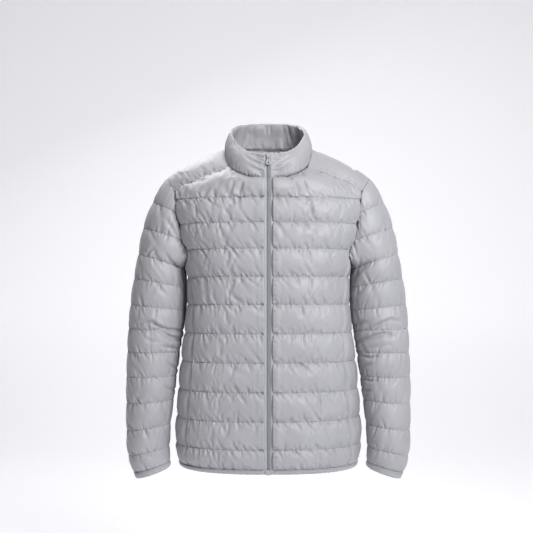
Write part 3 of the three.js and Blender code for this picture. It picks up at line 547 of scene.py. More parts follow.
def collar_panel():
    """One loop of cloth: up the outside, over the rolled edge and down the inside."""
    half = np.concatenate([np.linspace(ZIP_TURN, 70, 30), np.linspace(73, 176.5, 30)])
    turn = np.concatenate([half, [180.0], 360 - half[::-1]])
    up_out = np.linspace(0.004, 0.93, COLLAR_OUTSIDE)
    up_in = np.linspace(0.93, 0.004, COLLAR_INSIDE)
    rolls = np.linspace(0, math.pi, COLLAR_ROLL + 2)[1:-1]
    up = np.concatenate([up_out, 0.93 + 0.07 * np.sin(rolls), up_in])
    depth = np.concatenate([np.zeros(COLLAR_OUTSIDE), -COLLAR_PADDING * (1 - np.cos(rolls)) / 2,
                            np.full(COLLAR_INSIDE, -COLLAR_PADDING)])
    t, u = np.meshgrid(turn, up, indexing="ij")
    plain = collar_base(t, u)
    lifted = collar_base(t, u + 0.02) - collar_base(t, u - 0.02)
    round_it = np.gradient(plain, axis=0)
    round_it[0, :, 0] = np.abs(round_it[0, :, 0])
    out = unit(np.cross(round_it, lifted))
    out[[0, -1], :, 0] = 0
    out = unit(out) * np.sign(np.median(np.sum(out * (plain - np.array([0, 0, -10])), axis=-1)))
    grid = plain + out * depth[None, :, None]
    q = np.arange(len(up))
    facing = np.where(q < COLLAR_OUTSIDE + COLLAR_ROLL // 2, 1.0, -1.0)
    tall = np.sin(np.pi * np.clip(up, 0.0, 0.93)) ** 0.5
    zip_side = np.minimum(t - ZIP_TURN, 360 - ZIP_TURN - t)
    crown = np.where(facing > 0, 2.2, 0.8)[None, :] * tall[None, :] * np.clip(0.4 + zip_side / 8, 0, 1)
    pinned = (q == 0) | (q == len(q) - 1)
    pinned = np.broadcast_to(pinned[None, :], t.shape) | (zip_side < 0.01)
    add_panel("quilt_collar", grid, out * facing[None, :, None], pinned, crown, cap=4.5)


def simulate_cloth():
    """Swells every panel between its stitch lines, where its cloth gathers because it is cut large."""
    scene = bpy.context.scene
    trial = bpy.data.materials.new("trial")
    made = []
    for panel in panels:
        start = panel["grid"] + panel["out"] * (0.75 * panel["crown"])[..., None]
        columns, rows = start.shape[:2]
        faces = grid_faces(columns, rows, panel["closed"])
        cloth_piece = new_object("sim_" + panel["name"], start.reshape(-1, 3) * MM, faces.tolist(), trial)
        normal = cloth_piece.data.polygons[len(faces) // 2].normal
        middle = panel["out"].reshape(-1, 3)[faces[len(faces) // 2][0]]
        if np.dot(np.array(normal), middle) < 0:
            cloth_piece.data.flip_normals()
        group = cloth_piece.vertex_groups.new(name="pin")
        group.add(np.flatnonzero(panel["pinned"].ravel()).tolist(), 1.0, "REPLACE")
        cloth = cloth_piece.modifiers.new("cloth", "CLOTH")
        set_cloth(cloth)
        made.append((panel, cloth_piece))
    for number in range(1, SIM_FRAMES + 1):
        scene.frame_set(number)
    seen = bpy.context.evaluated_depsgraph_get()
    for panel, cloth_piece in made:
        shape = panel["grid"].shape
        found = np.empty(shape[0] * shape[1] * 3)
        cloth_piece.evaluated_get(seen).data.vertices.foreach_get("co", found)
        panel["settled"] = capped(panel, found.reshape(shape) / MM)
        bpy.data.objects.remove(cloth_piece)
    bpy.data.materials.remove(trial)
    scene.frame_set(1)


def set_cloth(cloth):
    s = cloth.settings
    s.quality = 5
    s.mass = 0.12
    s.tension_stiffness = 12
    s.compression_stiffness = 12
    s.shear_stiffness = 4
    s.bending_stiffness = 0.12
    s.air_damping = 2.0
    s.use_pressure = True
    s.uniform_pressure_force = CLOTH_PRESSURE
    s.shrink_min = -CLOTH_GROWTH
    s.vertex_group_mass = "pin"
    s.effector_weights.gravity = 0.0
    cloth.collision_settings.use_collision = False
    cloth.collision_settings.use_self_collision = False
    cloth.point_cache.frame_start = 1
    cloth.point_cache.frame_end = SIM_FRAMES


def nearby_peak(crown):
    """The highest starting swell within half a baffle of each point."""
    peak = crown.copy()
    for shift in range(1, ROWS // 2 + 1):
        peak[:, shift:] = np.maximum(peak[:, shift:], crown[:, :-shift])
        peak[:, :-shift] = np.maximum(peak[:, :-shift], crown[:, shift:])
    return peak


def capped(panel, settled):
    """Holds a settled panel near its starting swell, and keeps its sideways slip small."""
    moved = np.nan_to_num(settled - panel["grid"])
    rise = np.sum(moved * panel["out"], axis=-1)
    slip = moved - panel["out"] * rise[..., None]
    length = np.linalg.norm(slip, axis=-1, keepdims=True)
    slip *= np.minimum(1, 3.0 / np.maximum(length, 1e-6))
    cap = np.maximum(panel["cap"] * nearby_peak(panel["crown"]) / panel["crown"].max(), 1.0)
    rise = np.where(rise > 0.6 * cap, 0.6 * cap + 0.4 * cap * np.tanh((rise - 0.6 * cap) / (0.4 * cap)), rise)
    found = panel["grid"] + slip + panel["out"] * np.maximum(rise, -1.5)[..., None]
    if panel["closed"]:
        return found
    # beside a seam the cloth keeps its plain swell, so that no ridge runs along the seam
    columns = found.shape[0]
    inward = np.minimum(np.arange(columns), np.arange(columns)[::-1]) / 6
    share = np.clip(inward, 0, 1)[:, None, None] ** 1.5
    plain = panel["grid"] + panel["out"] * panel["crown"][..., None]
    return plain + (found - plain) * share


def node_material(name, color, roughness):
    material = bpy.data.materials.new(name)
    material.use_nodes = True
    shader = material.node_tree.nodes["Principled BSDF"]
    shader.inputs["Base Color"].default_value = (*color, 1)
    shader.inputs["Roughness"].default_value = roughness
    return material, material.node_tree, shader


def add_node(tree, kind, **values):
    node = tree.nodes.new(kind)
    for key, value in values.items():
        if key in node.inputs:
            node.inputs[key].default_value = value
        else:
            setattr(node, key, value)
    return node


def nylon_material():
    """Thin grey nylon: a soft satin sheen, fine crumples and a close plain weave."""
    material, tree, shader = node_material("grey_nylon", (0.33, 0.33, 0.352), 0.5)
    link = tree.links.new
    place = tree.nodes.new("ShaderNodeTexCoord")
    cloud = add_node(tree, "ShaderNodeTexNoise", Scale=14.0, Detail=4.0)
    link(place.outputs["Object"], cloud.inputs["Vector"])
    shade = tree.nodes.new("ShaderNodeValToRGB")
    shade.color_ramp.elements[0].position = 0.3
    shade.color_ramp.elements[0].color = (0.315, 0.316, 0.338, 1)
    shade.color_ramp.elements[1].position = 0.7
    shade.color_ramp.elements[1].color = (0.355, 0.356, 0.380, 1)
    link(cloud.outputs["Fac"], shade.inputs["Fac"])
    link(shade.outputs["Color"], shader.inputs["Base Color"])
    gloss = add_node(tree, "ShaderNodeTexNoise", Scale=60.0, Detail=3.0)
    link(place.outputs["Object"], gloss.inputs["Vector"])
    gloss_range = tree.nodes.new("ShaderNodeMapRange")
    gloss_range.inputs["To Min"].default_value = 0.46
    gloss_range.inputs["To Max"].default_value = 0.60
    link(gloss.outputs["Fac"], gloss_range.inputs["Value"])
    link(gloss_range.outputs["Result"], shader.inputs["Roughness"])
    crumple = add_node(tree, "ShaderNodeTexNoise", Scale=95.0, Detail=5.0, Roughness=0.55)
    link(place.outputs["Object"], crumple.inputs["Vector"])
    soft = add_node(tree, "ShaderNodeBump", Strength=0.35, Distance=0.0012)
    link(crumple.outputs["Fac"], soft.inputs["Height"])
    weave = add_node(tree, "ShaderNodeTexNoise", Scale=1600.0, Detail=1.0)
    link(place.outputs["Object"], weave.inputs["Vector"])
    fine = add_node(tree, "ShaderNodeBump", Strength=0.12, Distance=0.0002)
    link(weave.outputs["Fac"], fine.inputs["Height"])
    link(soft.outputs["Normal"], fine.inputs["Normal"])
    link(fine.outputs["Normal"], shader.inputs["Normal"])
    shader.inputs["Sheen Weight"].default_value = 0.08
    shader.inputs["Sheen Roughness"].default_value = 0.4
    return material


def tape_material(name, color):
    """Woven zip tape with a fine rib across it."""
    material, tree, shader = node_material(name, color, 0.8)
    link = tree.links.new
    place = tree.nodes.new("ShaderNodeTexCoord")
    rib = add_node(tree, "ShaderNodeTexWave", Scale=700.0, Distortion=0.4)
    rib.bands_direction = "Z"
    link(place.outputs["Object"], rib.inputs["Vector"])
    bump = add_node(tree, "ShaderNodeBump", Strength=0.3, Distance=0.0002)
    link(rib.outputs["Fac"], bump.inputs["Height"])
    link(bump.outputs["Normal"], shader.inputs["Normal"])
    return material


def paint_material():
    """Satin grey paint over die-cast metal, a little worn in its gloss."""
    material, tree, shader = node_material("grey_paint", (0.35, 0.35, 0.365), 0.35)
    link = tree.links.new
    place = tree.nodes.new("ShaderNodeTexCoord")
    spots = add_node(tree, "ShaderNodeTexNoise", Scale=900.0, Detail=2.0)
    link(place.outputs["Object"], spots.inputs["Vector"])
    spread = tree.nodes.new("ShaderNodeMapRange")
    spread.inputs["To Min"].default_value = 0.28
    spread.inputs["To Max"].default_value = 0.45
    link(spots.outputs["Fac"], spread.inputs["Value"])
    link(spread.outputs["Result"], shader.inputs["Roughness"])
    bump = add_node(tree, "ShaderNodeBump", Strength=0.1, Distance=0.0001)
    link(spots.outputs["Fac"], bump.inputs["Height"])
    link(bump.outputs["Normal"], shader.inputs["Normal"])
    return material


def running_length(grid, axis):
    """Distance run along a grid's columns or rows, in millimetres."""
    step = np.linalg.norm(np.diff(grid, axis=axis), axis=-1)
    start = np.zeros_like(np.take(step, [0], axis=axis))
    return np.cumsum(np.concatenate([start, step], axis=axis), axis=axis)


def flat_cloth(grid, closed):
    """A panel's flat coordinates, the girth at each row of a tube, and the rise of its folds so far."""
    across = running_length(grid, 0)
    girth = across[-1] + np.linalg.norm(grid[0] - grid[-1], axis=-1) if closed else None
    along, rise = running_length(grid, 1), np.zeros(grid.shape[:2])
    return {"across": across, "along": along, "girth": girth, "rise": rise}


def fold_profile(q):
    """Across a fold: a trough with a low ridge on each side."""
    return (1 - 0.9 * q * q) * np.exp(-0.7 * q * q)


def press_fold(flat, column, row, across, along, deep, wide):
    """Presses a fold from a point of the panel towards an offset. It widens and fades on its way."""
    columns, rows = flat["rise"].shape
    cell = max(flat["across"][-1, row] / columns, 0.3), max(flat["along"][column, -1] / rows * 0.5, 0.3)
    side = min(int((abs(across) + 3 * wide) / cell[0]) + 2, columns // 2 - 1)
    tall = int((abs(along) + 3 * wide) / cell[1]) + 2
    r = np.arange(max(row - tall, 0), min(row + tall + 1, rows))
    c = np.arange(column - side, column + side + 1)
    c = c % columns if flat["girth"] is not None else c[(c >= 0) & (c < columns)]
    x = flat["across"][np.ix_(c, r)] - flat["across"][column, r]
    if flat["girth"] is not None:
        x = (x + flat["girth"][r] / 2) % flat["girth"][r] - flat["girth"][r] / 2
    y = flat["along"][np.ix_(c, r)] - flat["along"][c, row][:, None]
    share = np.clip((x * across + y * along) / (across ** 2 + along ** 2), 0, 1)
    off = np.hypot(x - share * across, y - share * along)
    fade = np.minimum(1, 0.25 + 5 * share) * (1 - share) ** 1.3
    flat["rise"][np.ix_(c, r)] -= deep * fade * fold_profile(off / (wide * (1 + 0.6 * share)))


def gather_line(flat, rng, row, way, spacing, length, depth, wide, lean=0.0, spread=0.35):
    """Uneven folds that run off a stitch line. way is 1 up the panel and -1 down it."""
    across = flat["across"][:, row]
    place = rng.uniform(1, spacing[1])
    while place < across[-1] - 1:
        column = int(np.searchsorted(across, place))
        run = rng.uniform(*length)
        tilt = way * lean + rng.normal(0, spread)
        press_fold(flat, column, row, tilt * run, way * run, rng.uniform(*depth), rng.uniform(*wide))
        place += rng.uniform(*spacing)


def gather_edge(flat, rng, column, way, spacing, length, depth, wide, lean=0.0):
    """The same off a side seam. way is 1 towards the higher columns and -1 towards the lower ones."""
    along = flat["along"][column]
    place = rng.uniform(2, spacing[1])
    while place < along[-1] - 2:
        row = int(np.searchsorted(along, place))
        run = rng.uniform(*length)
        tilt = lean + rng.normal(0, 0.4)
        press_fold(flat, column, row, way * run, tilt * run, rng.uniform(*depth), rng.uniform(*wide))
        place += rng.uniform(*spacing)


# How the folds of each panel run: how strong they are and which way the long ones lean
FOLDS = {
    "quilt_front_right": (11, 2.3, 0.55), "quilt_front_left": (12, 2.2, -0.5),
    "quilt_back": (13, 2.1, 0.2),
    "quilt_side_right": (14, 1.4, 0.2), "quilt_side_left": (15, 1.4, -0.2),
    "quilt_sleeve_right": (16, 2.6, 0.45), "quilt_sleeve_left": (17, 2.5, 0.45),
    "quilt_yoke_right": (18, 0.9, 0.2), "quilt_yoke_left": (19, 0.9, 0.2)}


def gathered(name, base, closed):
    """The rise of a panel's folds: short gathers off each stitch line, long slanting folds between."""
    seed, strength, lean = FOLDS[name]
    rng = np.random.default_rng(seed)
    flat = flat_cloth(base, closed)
    columns, rows = flat["rise"].shape
    yoke = name.startswith("quilt_yoke")
    lines = [0, rows - 1] if yoke else list(range(0, rows, FINE_ROWS))
    for row in lines:
        for way in (1, -1):
            if (row == 0 and way < 0) or (row == rows - 1 and way > 0):
                continue
            gather_line(flat, rng, row, way, (4, 12), (6, 17), (0.35, 1.0), (1.1, 2.1), lean * 0.7)
            gather_line(flat, rng, row, way, (14, 38), (18, 34), (0.5, 1.2), (2.0, 3.6), lean)
            gather_line(flat, rng, row, way, (50, 120), (30, 46), (0.7, 1.5), (3.5, 6.0), lean, 0.5)
    if not closed:
        puckered = 1.7 if name in ("quilt_front_left", "quilt_side_left") else 1.0
        for column, way in ((0, 1), (columns - 1, -1)):
            deep = (0.35 * puckered, 0.85 * puckered)
            gather_edge(flat, rng, column, way, (6, 14), (5, 13), deep, (1.3, 2.2))
    if name.startswith("quilt_front"):
        zip_fans(flat, rng, 1.25 if name.endswith("left") else 0.7)
    rise = flat["rise"] * strength
    if closed:
        rise *= np.clip(head_room(base), 0, 1)
    elif not yoke:
        rise -= seam_pull(flat, name, base)
        from_seam = np.minimum(flat["across"], flat["across"][-1][None] - flat["across"])
        rise = np.maximum(rise, DEEPEST_AT_SEAM - DEEPER_FROM_SEAM * from_seam)
    return np.clip(rise, DEEPEST_FOLD, HIGHEST_FOLD)


def seam_pull(flat, name, base):
    """The cloth beside a panel seam is drawn in by its stitches, in a line that sways a little."""
    z = base[-1, :, 2]
    sway = SEAM_SWAY * (np.sin(z / 6.1 + 0.8 * np.sin(z / 17)) + 0.6 * np.sin(z / 2.9 + 1.3))
    away = flat["across"][-1][None] - flat["across"]
    if not name.startswith("quilt_front"):
        away = np.minimum(away, flat["across"])
    if name.startswith("quilt_side"):
        sway = -sway
    return SEAM_DEPTH * np.exp(-((away + sway) / SEAM_HALF_WIDTH) ** 2)


def zip_fans(flat, rng, strength):
    """Folds that fan out from the zip seam at each stitch line."""
    for row in range(FINE_ROWS, flat["rise"].shape[1], FINE_ROWS):
        for tilt in (-1.5, -0.8, -0.35, 0.35, 0.9, 1.6):
            run = rng.uniform(9, 19)
            along = (tilt + rng.normal(0, 0.2)) * run * 0.8
            deep = strength * rng.uniform(0.4, 1.0)
            press_fold(flat, 1, row, run, along, deep, rng.uniform(1.4, 2.4))


def head_room(base):
    """The share of a fold's depth that each baffle of the sleeve has room for, 0 at the armhole."""
    along = running_length(base, 1)
    room = np.zeros(along.shape)
    for row in range(0, along.shape[1] - 1, FINE_ROWS):
        reach = along[:, row + FINE_ROWS] - along[:, row]
        baffle = slice(row, row + FINE_ROWS + 1)
        room[:, baffle] = np.maximum(room[:, baffle], reach[:, None] / 38 - 0.2)
    return room


def collar_gathers(base):
    """Folds that fan from the zip ends of the collar, and small puckers along its rolled edge."""
    rng = np.random.default_rng(31)
    flat = flat_cloth(base, False)
    columns, rows = flat["rise"].shape
    edge = 2 * (COLLAR_OUTSIDE + COLLAR_ROLL // 2)
    gather_line(flat, rng, 0, 1, (6, 14), (8, 22), (0.5, 1.1), (1.4, 2.4))
    gather_line(flat, rng, edge, -1, (6, 13), (8, 20), (0.5, 1.2), (1.5, 2.6))
    gather_line(flat, rng, edge, 1, (6, 13), (6, 16), (0.5, 1.2), (1.5, 2.6))
    gather_line(flat, rng, rows - 1, -1, (14, 30), (10, 28), (0.4, 1.0), (2.0, 3.5))
    tall = flat["along"][0, 2 * COLLAR_OUTSIDE]
    for column, way in ((2, 1), (columns - 3, -1)):
        for step in range(7):
            place = flat["across"][column, edge] + way * (4 + 7 * step + rng.uniform(-2, 2))
            there = int(np.clip(np.searchsorted(flat["across"][:, edge], place), 0, columns - 1))
            press_fold(flat, there, edge + 3, rng.uniform(-4, 4), -rng.uniform(9, 17), rng.uniform(1.0, 2.0),
                       rng.uniform(1.3, 2.0))
    for column, way, strength in ((2, 1, 2.0), (columns - 3, -1, 2.6)):
        for height in (0.1, 0.22, 0.36, 0.5, 0.64, 0.8):
            row = int(np.searchsorted(flat["along"][column], height * tall))
            run = rng.uniform(32, 62)
            press_fold(flat, column, row, way * run, (0.55 - 0.55 * height + rng.normal(0, 0.06)) * run,
                       strength * rng.uniform(0.9, 1.6), rng.uniform(2.2, 3.6))
    return np.clip(1.9 * flat["rise"], -3.8, 2.4)


def quilted_piece(panel, material):
    """The finished panel: its settled outer cloth over a plain inner one.

    The outer cloth has four times the columns and twice the rows of the cloth that was settled.
    """
    closed = panel["closed"]
    parts = (panel[part] for part in ("settled", "grid", "out"))
    outer, base, out = (midpoints(finer(part, closed), 0, closed) for part in parts)
    out = unit(out)
    outer = outer + out * gathered(panel["name"], base, closed)[..., None]
    outer = with_creases(panel["name"], outer, out)
    if panel["name"].startswith("quilt_front"):
        outer[..., 0] -= np.sign(outer[1, 0, 0]) * zip_overhang(base, outer)
    panel["finished"], panel["finished_out"] = outer, out
    kept = np.unique(np.append(np.arange(0, base.shape[1], INNER_STEP), base.shape[1] - 1))
    inner = (base - out * CLOTH_WALL)[:, kept]
    return wall_object(panel["name"], outer, inner, closed, material)


def zip_overhang(base, outer):
    """How far the padding beside the zip leans over the edge of the tape, by its height over the base."""
    from_edge = running_length(base, 0)
    raised = np.clip(np.linalg.norm(outer - base, axis=-1) / 4, 0.25, 1)
    return OVERHANG * np.clip(1 - from_edge / OVERHANG_REACH, 0, 1) * raised


def collar_piece(panel, material):
    """The collar is one loop in section, closed at the neck seam and at the two ends by the zip."""
    grid, base, out = (midpoints(finer(panel[part], False), 0, False) for part in ("settled", "grid", "out"))
    grid = grid + unit(out) * collar_gathers(base)[..., None]
    side = np.where(base[..., 0] > 0, 1, -1)
    from_zip = np.minimum(running_length(base, 0), running_length(base[::-1], 0)[::-1])
    grid[..., 0] -= side * 0.8 * OVERHANG * np.clip(1 - from_zip / OVERHANG_REACH, 0, 1)
    columns, rows = grid.shape[:2]
    faces = grid_faces(columns, rows, False).tolist()
    for c in range(columns - 1):
        faces.append([c * rows + rows - 1, (c + 1) * rows + rows - 1, (c + 1) * rows, c * rows])
    faces.append(list(range(rows)))
    faces.append([(columns - 1) * rows + r for r in range(rows - 1, -1, -1)])
    piece = new_object(panel["name"], grid.reshape(-1, 3) * MM, faces, material)
    tidy_mesh(piece)
    panel["finished"], panel["finished_out"] = grid, unit(out)
    return piece


# The main creases by panel, as troughs seen from the front: depth, reach, and the x and z of each point
CREASES = {
    "quilt_sleeve_right": (
        (6.5, 4.5, (-276, -376), (-262, -370), (-244, -369), (-230, -378), (-215, -386), (-182, -391)),
        (7.5, 6.0, (-236, -382), (-222, -392), (-205, -403), (-180, -412)),
        (3.0, 5.0, (-244, -214), (-232, -238), (-218, -260)),
        (3.0, 5.0, (-218, -150), (-203, -172), (-187, -199)),
        (3.0, 5.0, (-242, -274), (-228, -298), (-212, -316)),
        (3.0, 4.0, (-219, -222), (-206, -242), (-189, -257)),
        (3.5, 4.0, (-226, -420), (-205, -424), (-184, -431)),
        (3.5, 4.0, (-212, -453), (-202, -464), (-189, -473)),
        (3.0, 4.0, (-216, -503), (-205, -512), (-195, -517)),
        (2.5, 4.0, (-266, -400), (-245, -409), (-224, -413))),
    "quilt_sleeve_left": (
        (6.0, 4.0, (208, -388), (222, -379), (235, -372), (257, -364), (282, -370)),
        (7.5, 6.5, (184, -417), (200, -409), (220, -401), (240, -395), (264, -401)),
        (3.5, 6.0, (181, -380), (195, -373), (210, -369)), (4.0, 4.0, (192, -441), (212, -445), (234, -440)),
        (3.0, 3.5, (194, -462), (206, -461), (217, -456)), (3.5, 3.5, (196, -488), (210, -493), (226, -491)),
        (3.0, 3.5, (197, -510), (206, -514), (214, -513)), (3.5, 6.0, (174, -294), (190, -264), (219, -240)),
        (3.0, 5.0, (180, -320), (192, -308), (206, -290)), (2.5, 4.5, (206, -425), (228, -422), (254, -416))),
}


def with_creases(name, outer, out):
    """Presses the main creases into a panel."""
    depth = np.zeros(outer.shape[:2])
    for deep, reach, *line in CREASES.get(name, ()):
        line = np.array(line, float)
        steps = np.linalg.norm(np.diff(line, axis=0), axis=1)
        away = np.full(depth.shape, 1e3)
        place = np.zeros(depth.shape)
        for k, step in enumerate(steps):
            along = (line[k + 1] - line[k]) / step
            flat = outer[..., [0, 2]] - line[k]
            run = np.clip(flat @ along, 0, step)
            far = np.linalg.norm(flat - run[..., None] * along, axis=-1)
            place = np.where(far < away, steps[:k].sum() + run, place)
            away = np.minimum(far, away)
        fade = np.sin(np.pi * (0.03 + 0.94 * place / steps.sum())) ** 0.8
        pressed = deep * fade * fold_profile(away / reach)
        depth = np.where(np.abs(pressed) > np.abs(depth), pressed, depth)
    depth *= np.where(outer[..., 1] < 0, 1.0, 0.4)
    return outer - out * depth[..., None]


def hem_base(round_it, down):
    z = HEM_SEAM_Z - SEAM_GAP + (HEM_BOTTOM_Z - HEM_SEAM_Z + SEAM_GAP) * down
    half = np.where(round_it > 1, 2 - round_it, round_it)
    first = angle_at(ZIP_HALF_WIDTH, z)
    return body_point(np.where(round_it > 1, -1, 1), z, first - (first + math.pi / 2) * half)


def gathers(seed, columns, rows, waves, closed):
    """Uneven small folds across a binding."""
    u = np.linspace(0, 2 * math.pi, columns, endpoint=not closed)[:, None]
    drift = noise(seed, (columns, rows), (9, 0.3), closed)
    return np.sin(waves * u + 2.2 * drift) * (0.6 + 0.5 * noise(seed + 1, (columns, rows), (14, 0.2), closed))


# The stitches that hold the elastic bindings at the hem and cuffs
band_rows = []


def hem_piece(material):
    u, v = np.meshgrid(np.linspace(0, 2, 900), np.linspace(0, 1, 9), indexing="ij")
    grid = hem_base(u, v)
    out = outward(grid, np.array([0, 0, HEM_SEAM_Z]))
    rise = 1.0 + 1.7 * np.sin(np.pi * v) ** 0.7 + 0.5 * gathers(5, 900, 9, 96, False)
    band_rows.append(stitches(grid[:, 1] + out[:, 1] * (rise[:, 1:2] + 0.3), out[:, 1]))
    inner = grid[:, [0, 4, 8]] - out[:, [0, 4, 8]] * CLOTH_WALL
    return wall_object("hem_band", grid + out * rise[..., None], inner, False, material)


def cuff_piece(word, side, material):
    u, v = np.meshgrid(np.linspace(0, 360, 220, endpoint=False), np.linspace(0.03, 1, 9), indexing="ij")
    grid = sleeve_ring(side, u, CUFF_LINE + v)
    centre = np.array([side * 243.0, -40.0, -682.0])
    out = outward(grid, centre, closed=True)
    rise = 1.0 + 1.6 * np.sin(np.pi * v) ** 0.7 + 0.45 * gathers(11, 220, 9, 22, True)
    band_rows.append(stitches(grid[:, 1] + out[:, 1] * (rise[:, 1:2] + 0.3), out[:, 1]))
    inner = grid[:, [0, 4, 8]] - out[:, [0, 4, 8]] * CLOTH_WALL
    return wall_object("cuff_band_" + word, grid + out * rise[..., None], inner, True, material)


def zip_path(rows):
    """Points, upward directions and outward directions along the zip's middle."""
    rows = np.asarray(rows, float)
    neck = LINE_COUNT + 1

    def at(v):
        one = np.zeros_like(v)
        body = panel_base(1, 1, one, np.minimum(v, neck))
        stand = collar_base(one + ZIP_TURN, np.maximum(v - neck, 0))
        found = np.where((v > neck)[..., None], stand, body)
        found[..., 0] = 0
        return found

    place = at(rows)
    up = unit(at(rows + 0.01) - at(rows - 0.01))
    out = np.cross(np.array([1.0, 0, 0]), up)
    return place, up, out


def zip_rows(low, high, step):
    """Rows along the zip about this far apart."""
    fine = np.linspace(low, high, 4000)
    place, _, _ = zip_path(fine)
    run = np.concatenate([[0], np.cumsum(np.linalg.norm(np.diff(place, axis=0), axis=1))])
    count = max(2, int(round(run[-1] / step)))
    return np.interp(np.linspace(0, run[-1], count + 1), run, fine)


def strip_piece(name, low_x, high_x, profile, thickness, material, step=2.0):
    """A strip of cloth along the zip. profile gives the height over the zip's middle plane at each x."""
    place, _, out = zip_path(zip_rows(ZIP_BOTTOM_ROW, ZIP_TOP_ROW, step))
    across = np.linspace(low_x, high_x, 9)
    grid = place[None] + across[:, None, None] * np.array([1.0, 0, 0])
    height = profile(across)[:, None] * np.ones(len(place))[None]
    outer = grid + out[None] * height[..., None]
    kept = np.unique(np.append(np.arange(0, len(place), 6), len(place) - 1))
    inner = grid[:, kept] + out[None, kept] * (height[:, kept] - thickness)[..., None]
    return wall_object(name, outer, inner, False, material)


def coil_piece(material):
    """The closed teeth of the zip: two rows of small slanted loops that meet along the middle."""
    rows = zip_rows(0.08, ZIP_TOP_ROW - 0.3, 1.25)
    place, up, out = zip_path(rows)
    vertices, faces = [], []
    for p, u, o in zip(place, up, out):
        for side in (-1, 1):
            start = len(vertices)
            middle = p + o * 0.55 + u * (0.31 * side)
            x0, x1 = (-0.35 * side, 2.3 * side)
            for x, wide in ((x0, 0.30), (0.4 * (x0 + x1), 0.42), (x1, 0.26)):
                for a, b in ((-1, 0), (0, 1), (1, 0), (0, -1)):
                    vertices.append(middle + np.array([x, 0, 0]) + u * wide * a + o * (wide * 1.1 * b))
            for ring in range(2):
                for k in range(4):
                    a, b = start + ring * 4 + k, start + ring * 4 + (k + 1) % 4
                    faces.append([a, b, b + 4, a + 4])
            faces.append([start + k for k in (3, 2, 1, 0)])
            faces.append([start + 8 + k for k in (0, 1, 2, 3)])
    return new_object("zip_coil", np.array(vertices) * MM, faces, material)


def stitches(line, out, pitch=STITCH_PITCH, length=STITCH_LENGTH):
    """Short raised threads along a line of points: their points, ring by ring, and their faces."""
    run = np.concatenate([[0], np.cumsum(np.linalg.norm(np.diff(line, axis=0), axis=1))])
    middles = np.arange(pitch, run[-1] - pitch, pitch)
    if len(middles) == 0:
        return np.zeros((0, 3)), np.zeros((0, 4), int)

    def at(table, where):
        return np.stack([np.interp(where, run, table[:, axis]) for axis in range(3)], axis=-1)

    place = at(line, middles)
    along = unit(at(line, middles + 0.8) - at(line, middles - 0.8))
    lift = unit(at(out, middles))
    side = np.cross(along, lift)
    rings = []
    for end, rise in ((-1.0, -0.1), (-0.6, 1.0), (0.6, 1.0), (1.0, -0.1)):
        for wide, share in ((-1, 0.2), (0, 1.0), (1, 0.2)):
            height = STITCH_HEIGHT * rise * share + 0.1
            aside = side * (wide * STITCH_HALF_WIDTH)
            rings.append(place + along * (end * length / 2) + aside + lift * height)
    vertices = np.stack(rings, axis=1).reshape(-1, 3)
    corners = [r * 3 + c for r in range(3) for c in range(2)]
    pattern = np.array([[k, k + 1, k + 4, k + 3] for k in corners])
    faces = (np.arange(len(middles)) * 12)[:, None, None] + pattern[None]
    return vertices, faces.reshape(-1, 4)


def thread_object(name, runs, material):
    """One object for many runs of stitches."""
    vertices, faces, start = [], [], 0
    for found, cells in runs:
        vertices.append(found)
        faces.append(cells + start)
        start += len(found)
    return new_object(name, np.concatenate(vertices) * MM, np.concatenate(faces).tolist(), material)


def quilt_stitches(material):
    """The threads along every stitch line, on the body and on each sleeve."""
    words = ("front_left", "front_right", "back", "side_left", "side_right", "sleeve_left", "sleeve_right")
    for word in words:
        panel = next(found for found in panels if found["name"] == "quilt_" + word)
        grid, out = panel["finished"], panel["finished_out"]
        runs = []
        for row in range(FINE_ROWS, grid.shape[1] - 1, FINE_ROWS):
            line, up = grid[:, row], out[:, row]
            if panel["closed"]:
                line, up = np.concatenate([line, line[:1]]), np.concatenate([up, up[:1]])
            runs.append(stitches(line, up))
        placed(thread_object("stitches_" + word, runs, material), slot="nylon_shell")


def seam_stitches(material):
    """The threads along the zip, the panels' seams, the shoulders, the collar's foot and the bindings."""
    runs = list(band_rows)
    for panel in panels:
        grid, out, name = panel["finished"], panel["finished_out"], panel["name"]
        if name.startswith("quilt_front"):
            runs.append(stitches(grid[2, 4:], out[2, 4:]))
            runs.append(stitches(grid[-3, :PANEL_SEAM_ROWS], out[-3, :PANEL_SEAM_ROWS]))
        if name == "quilt_back":
            runs += [stitches(grid[c, :PANEL_SEAM_ROWS], out[c, :PANEL_SEAM_ROWS]) for c in (2, -3)]
        if name.startswith("quilt_yoke"):
            runs += [stitches(grid[:, row], out[:, row]) for row in (2, -3)]
        if name == "quilt_collar":
            runs.append(stitches(grid[:, 2], out[:, 2]))
    placed(thread_object("stitches_seams", runs, material), slot="nylon_shell")


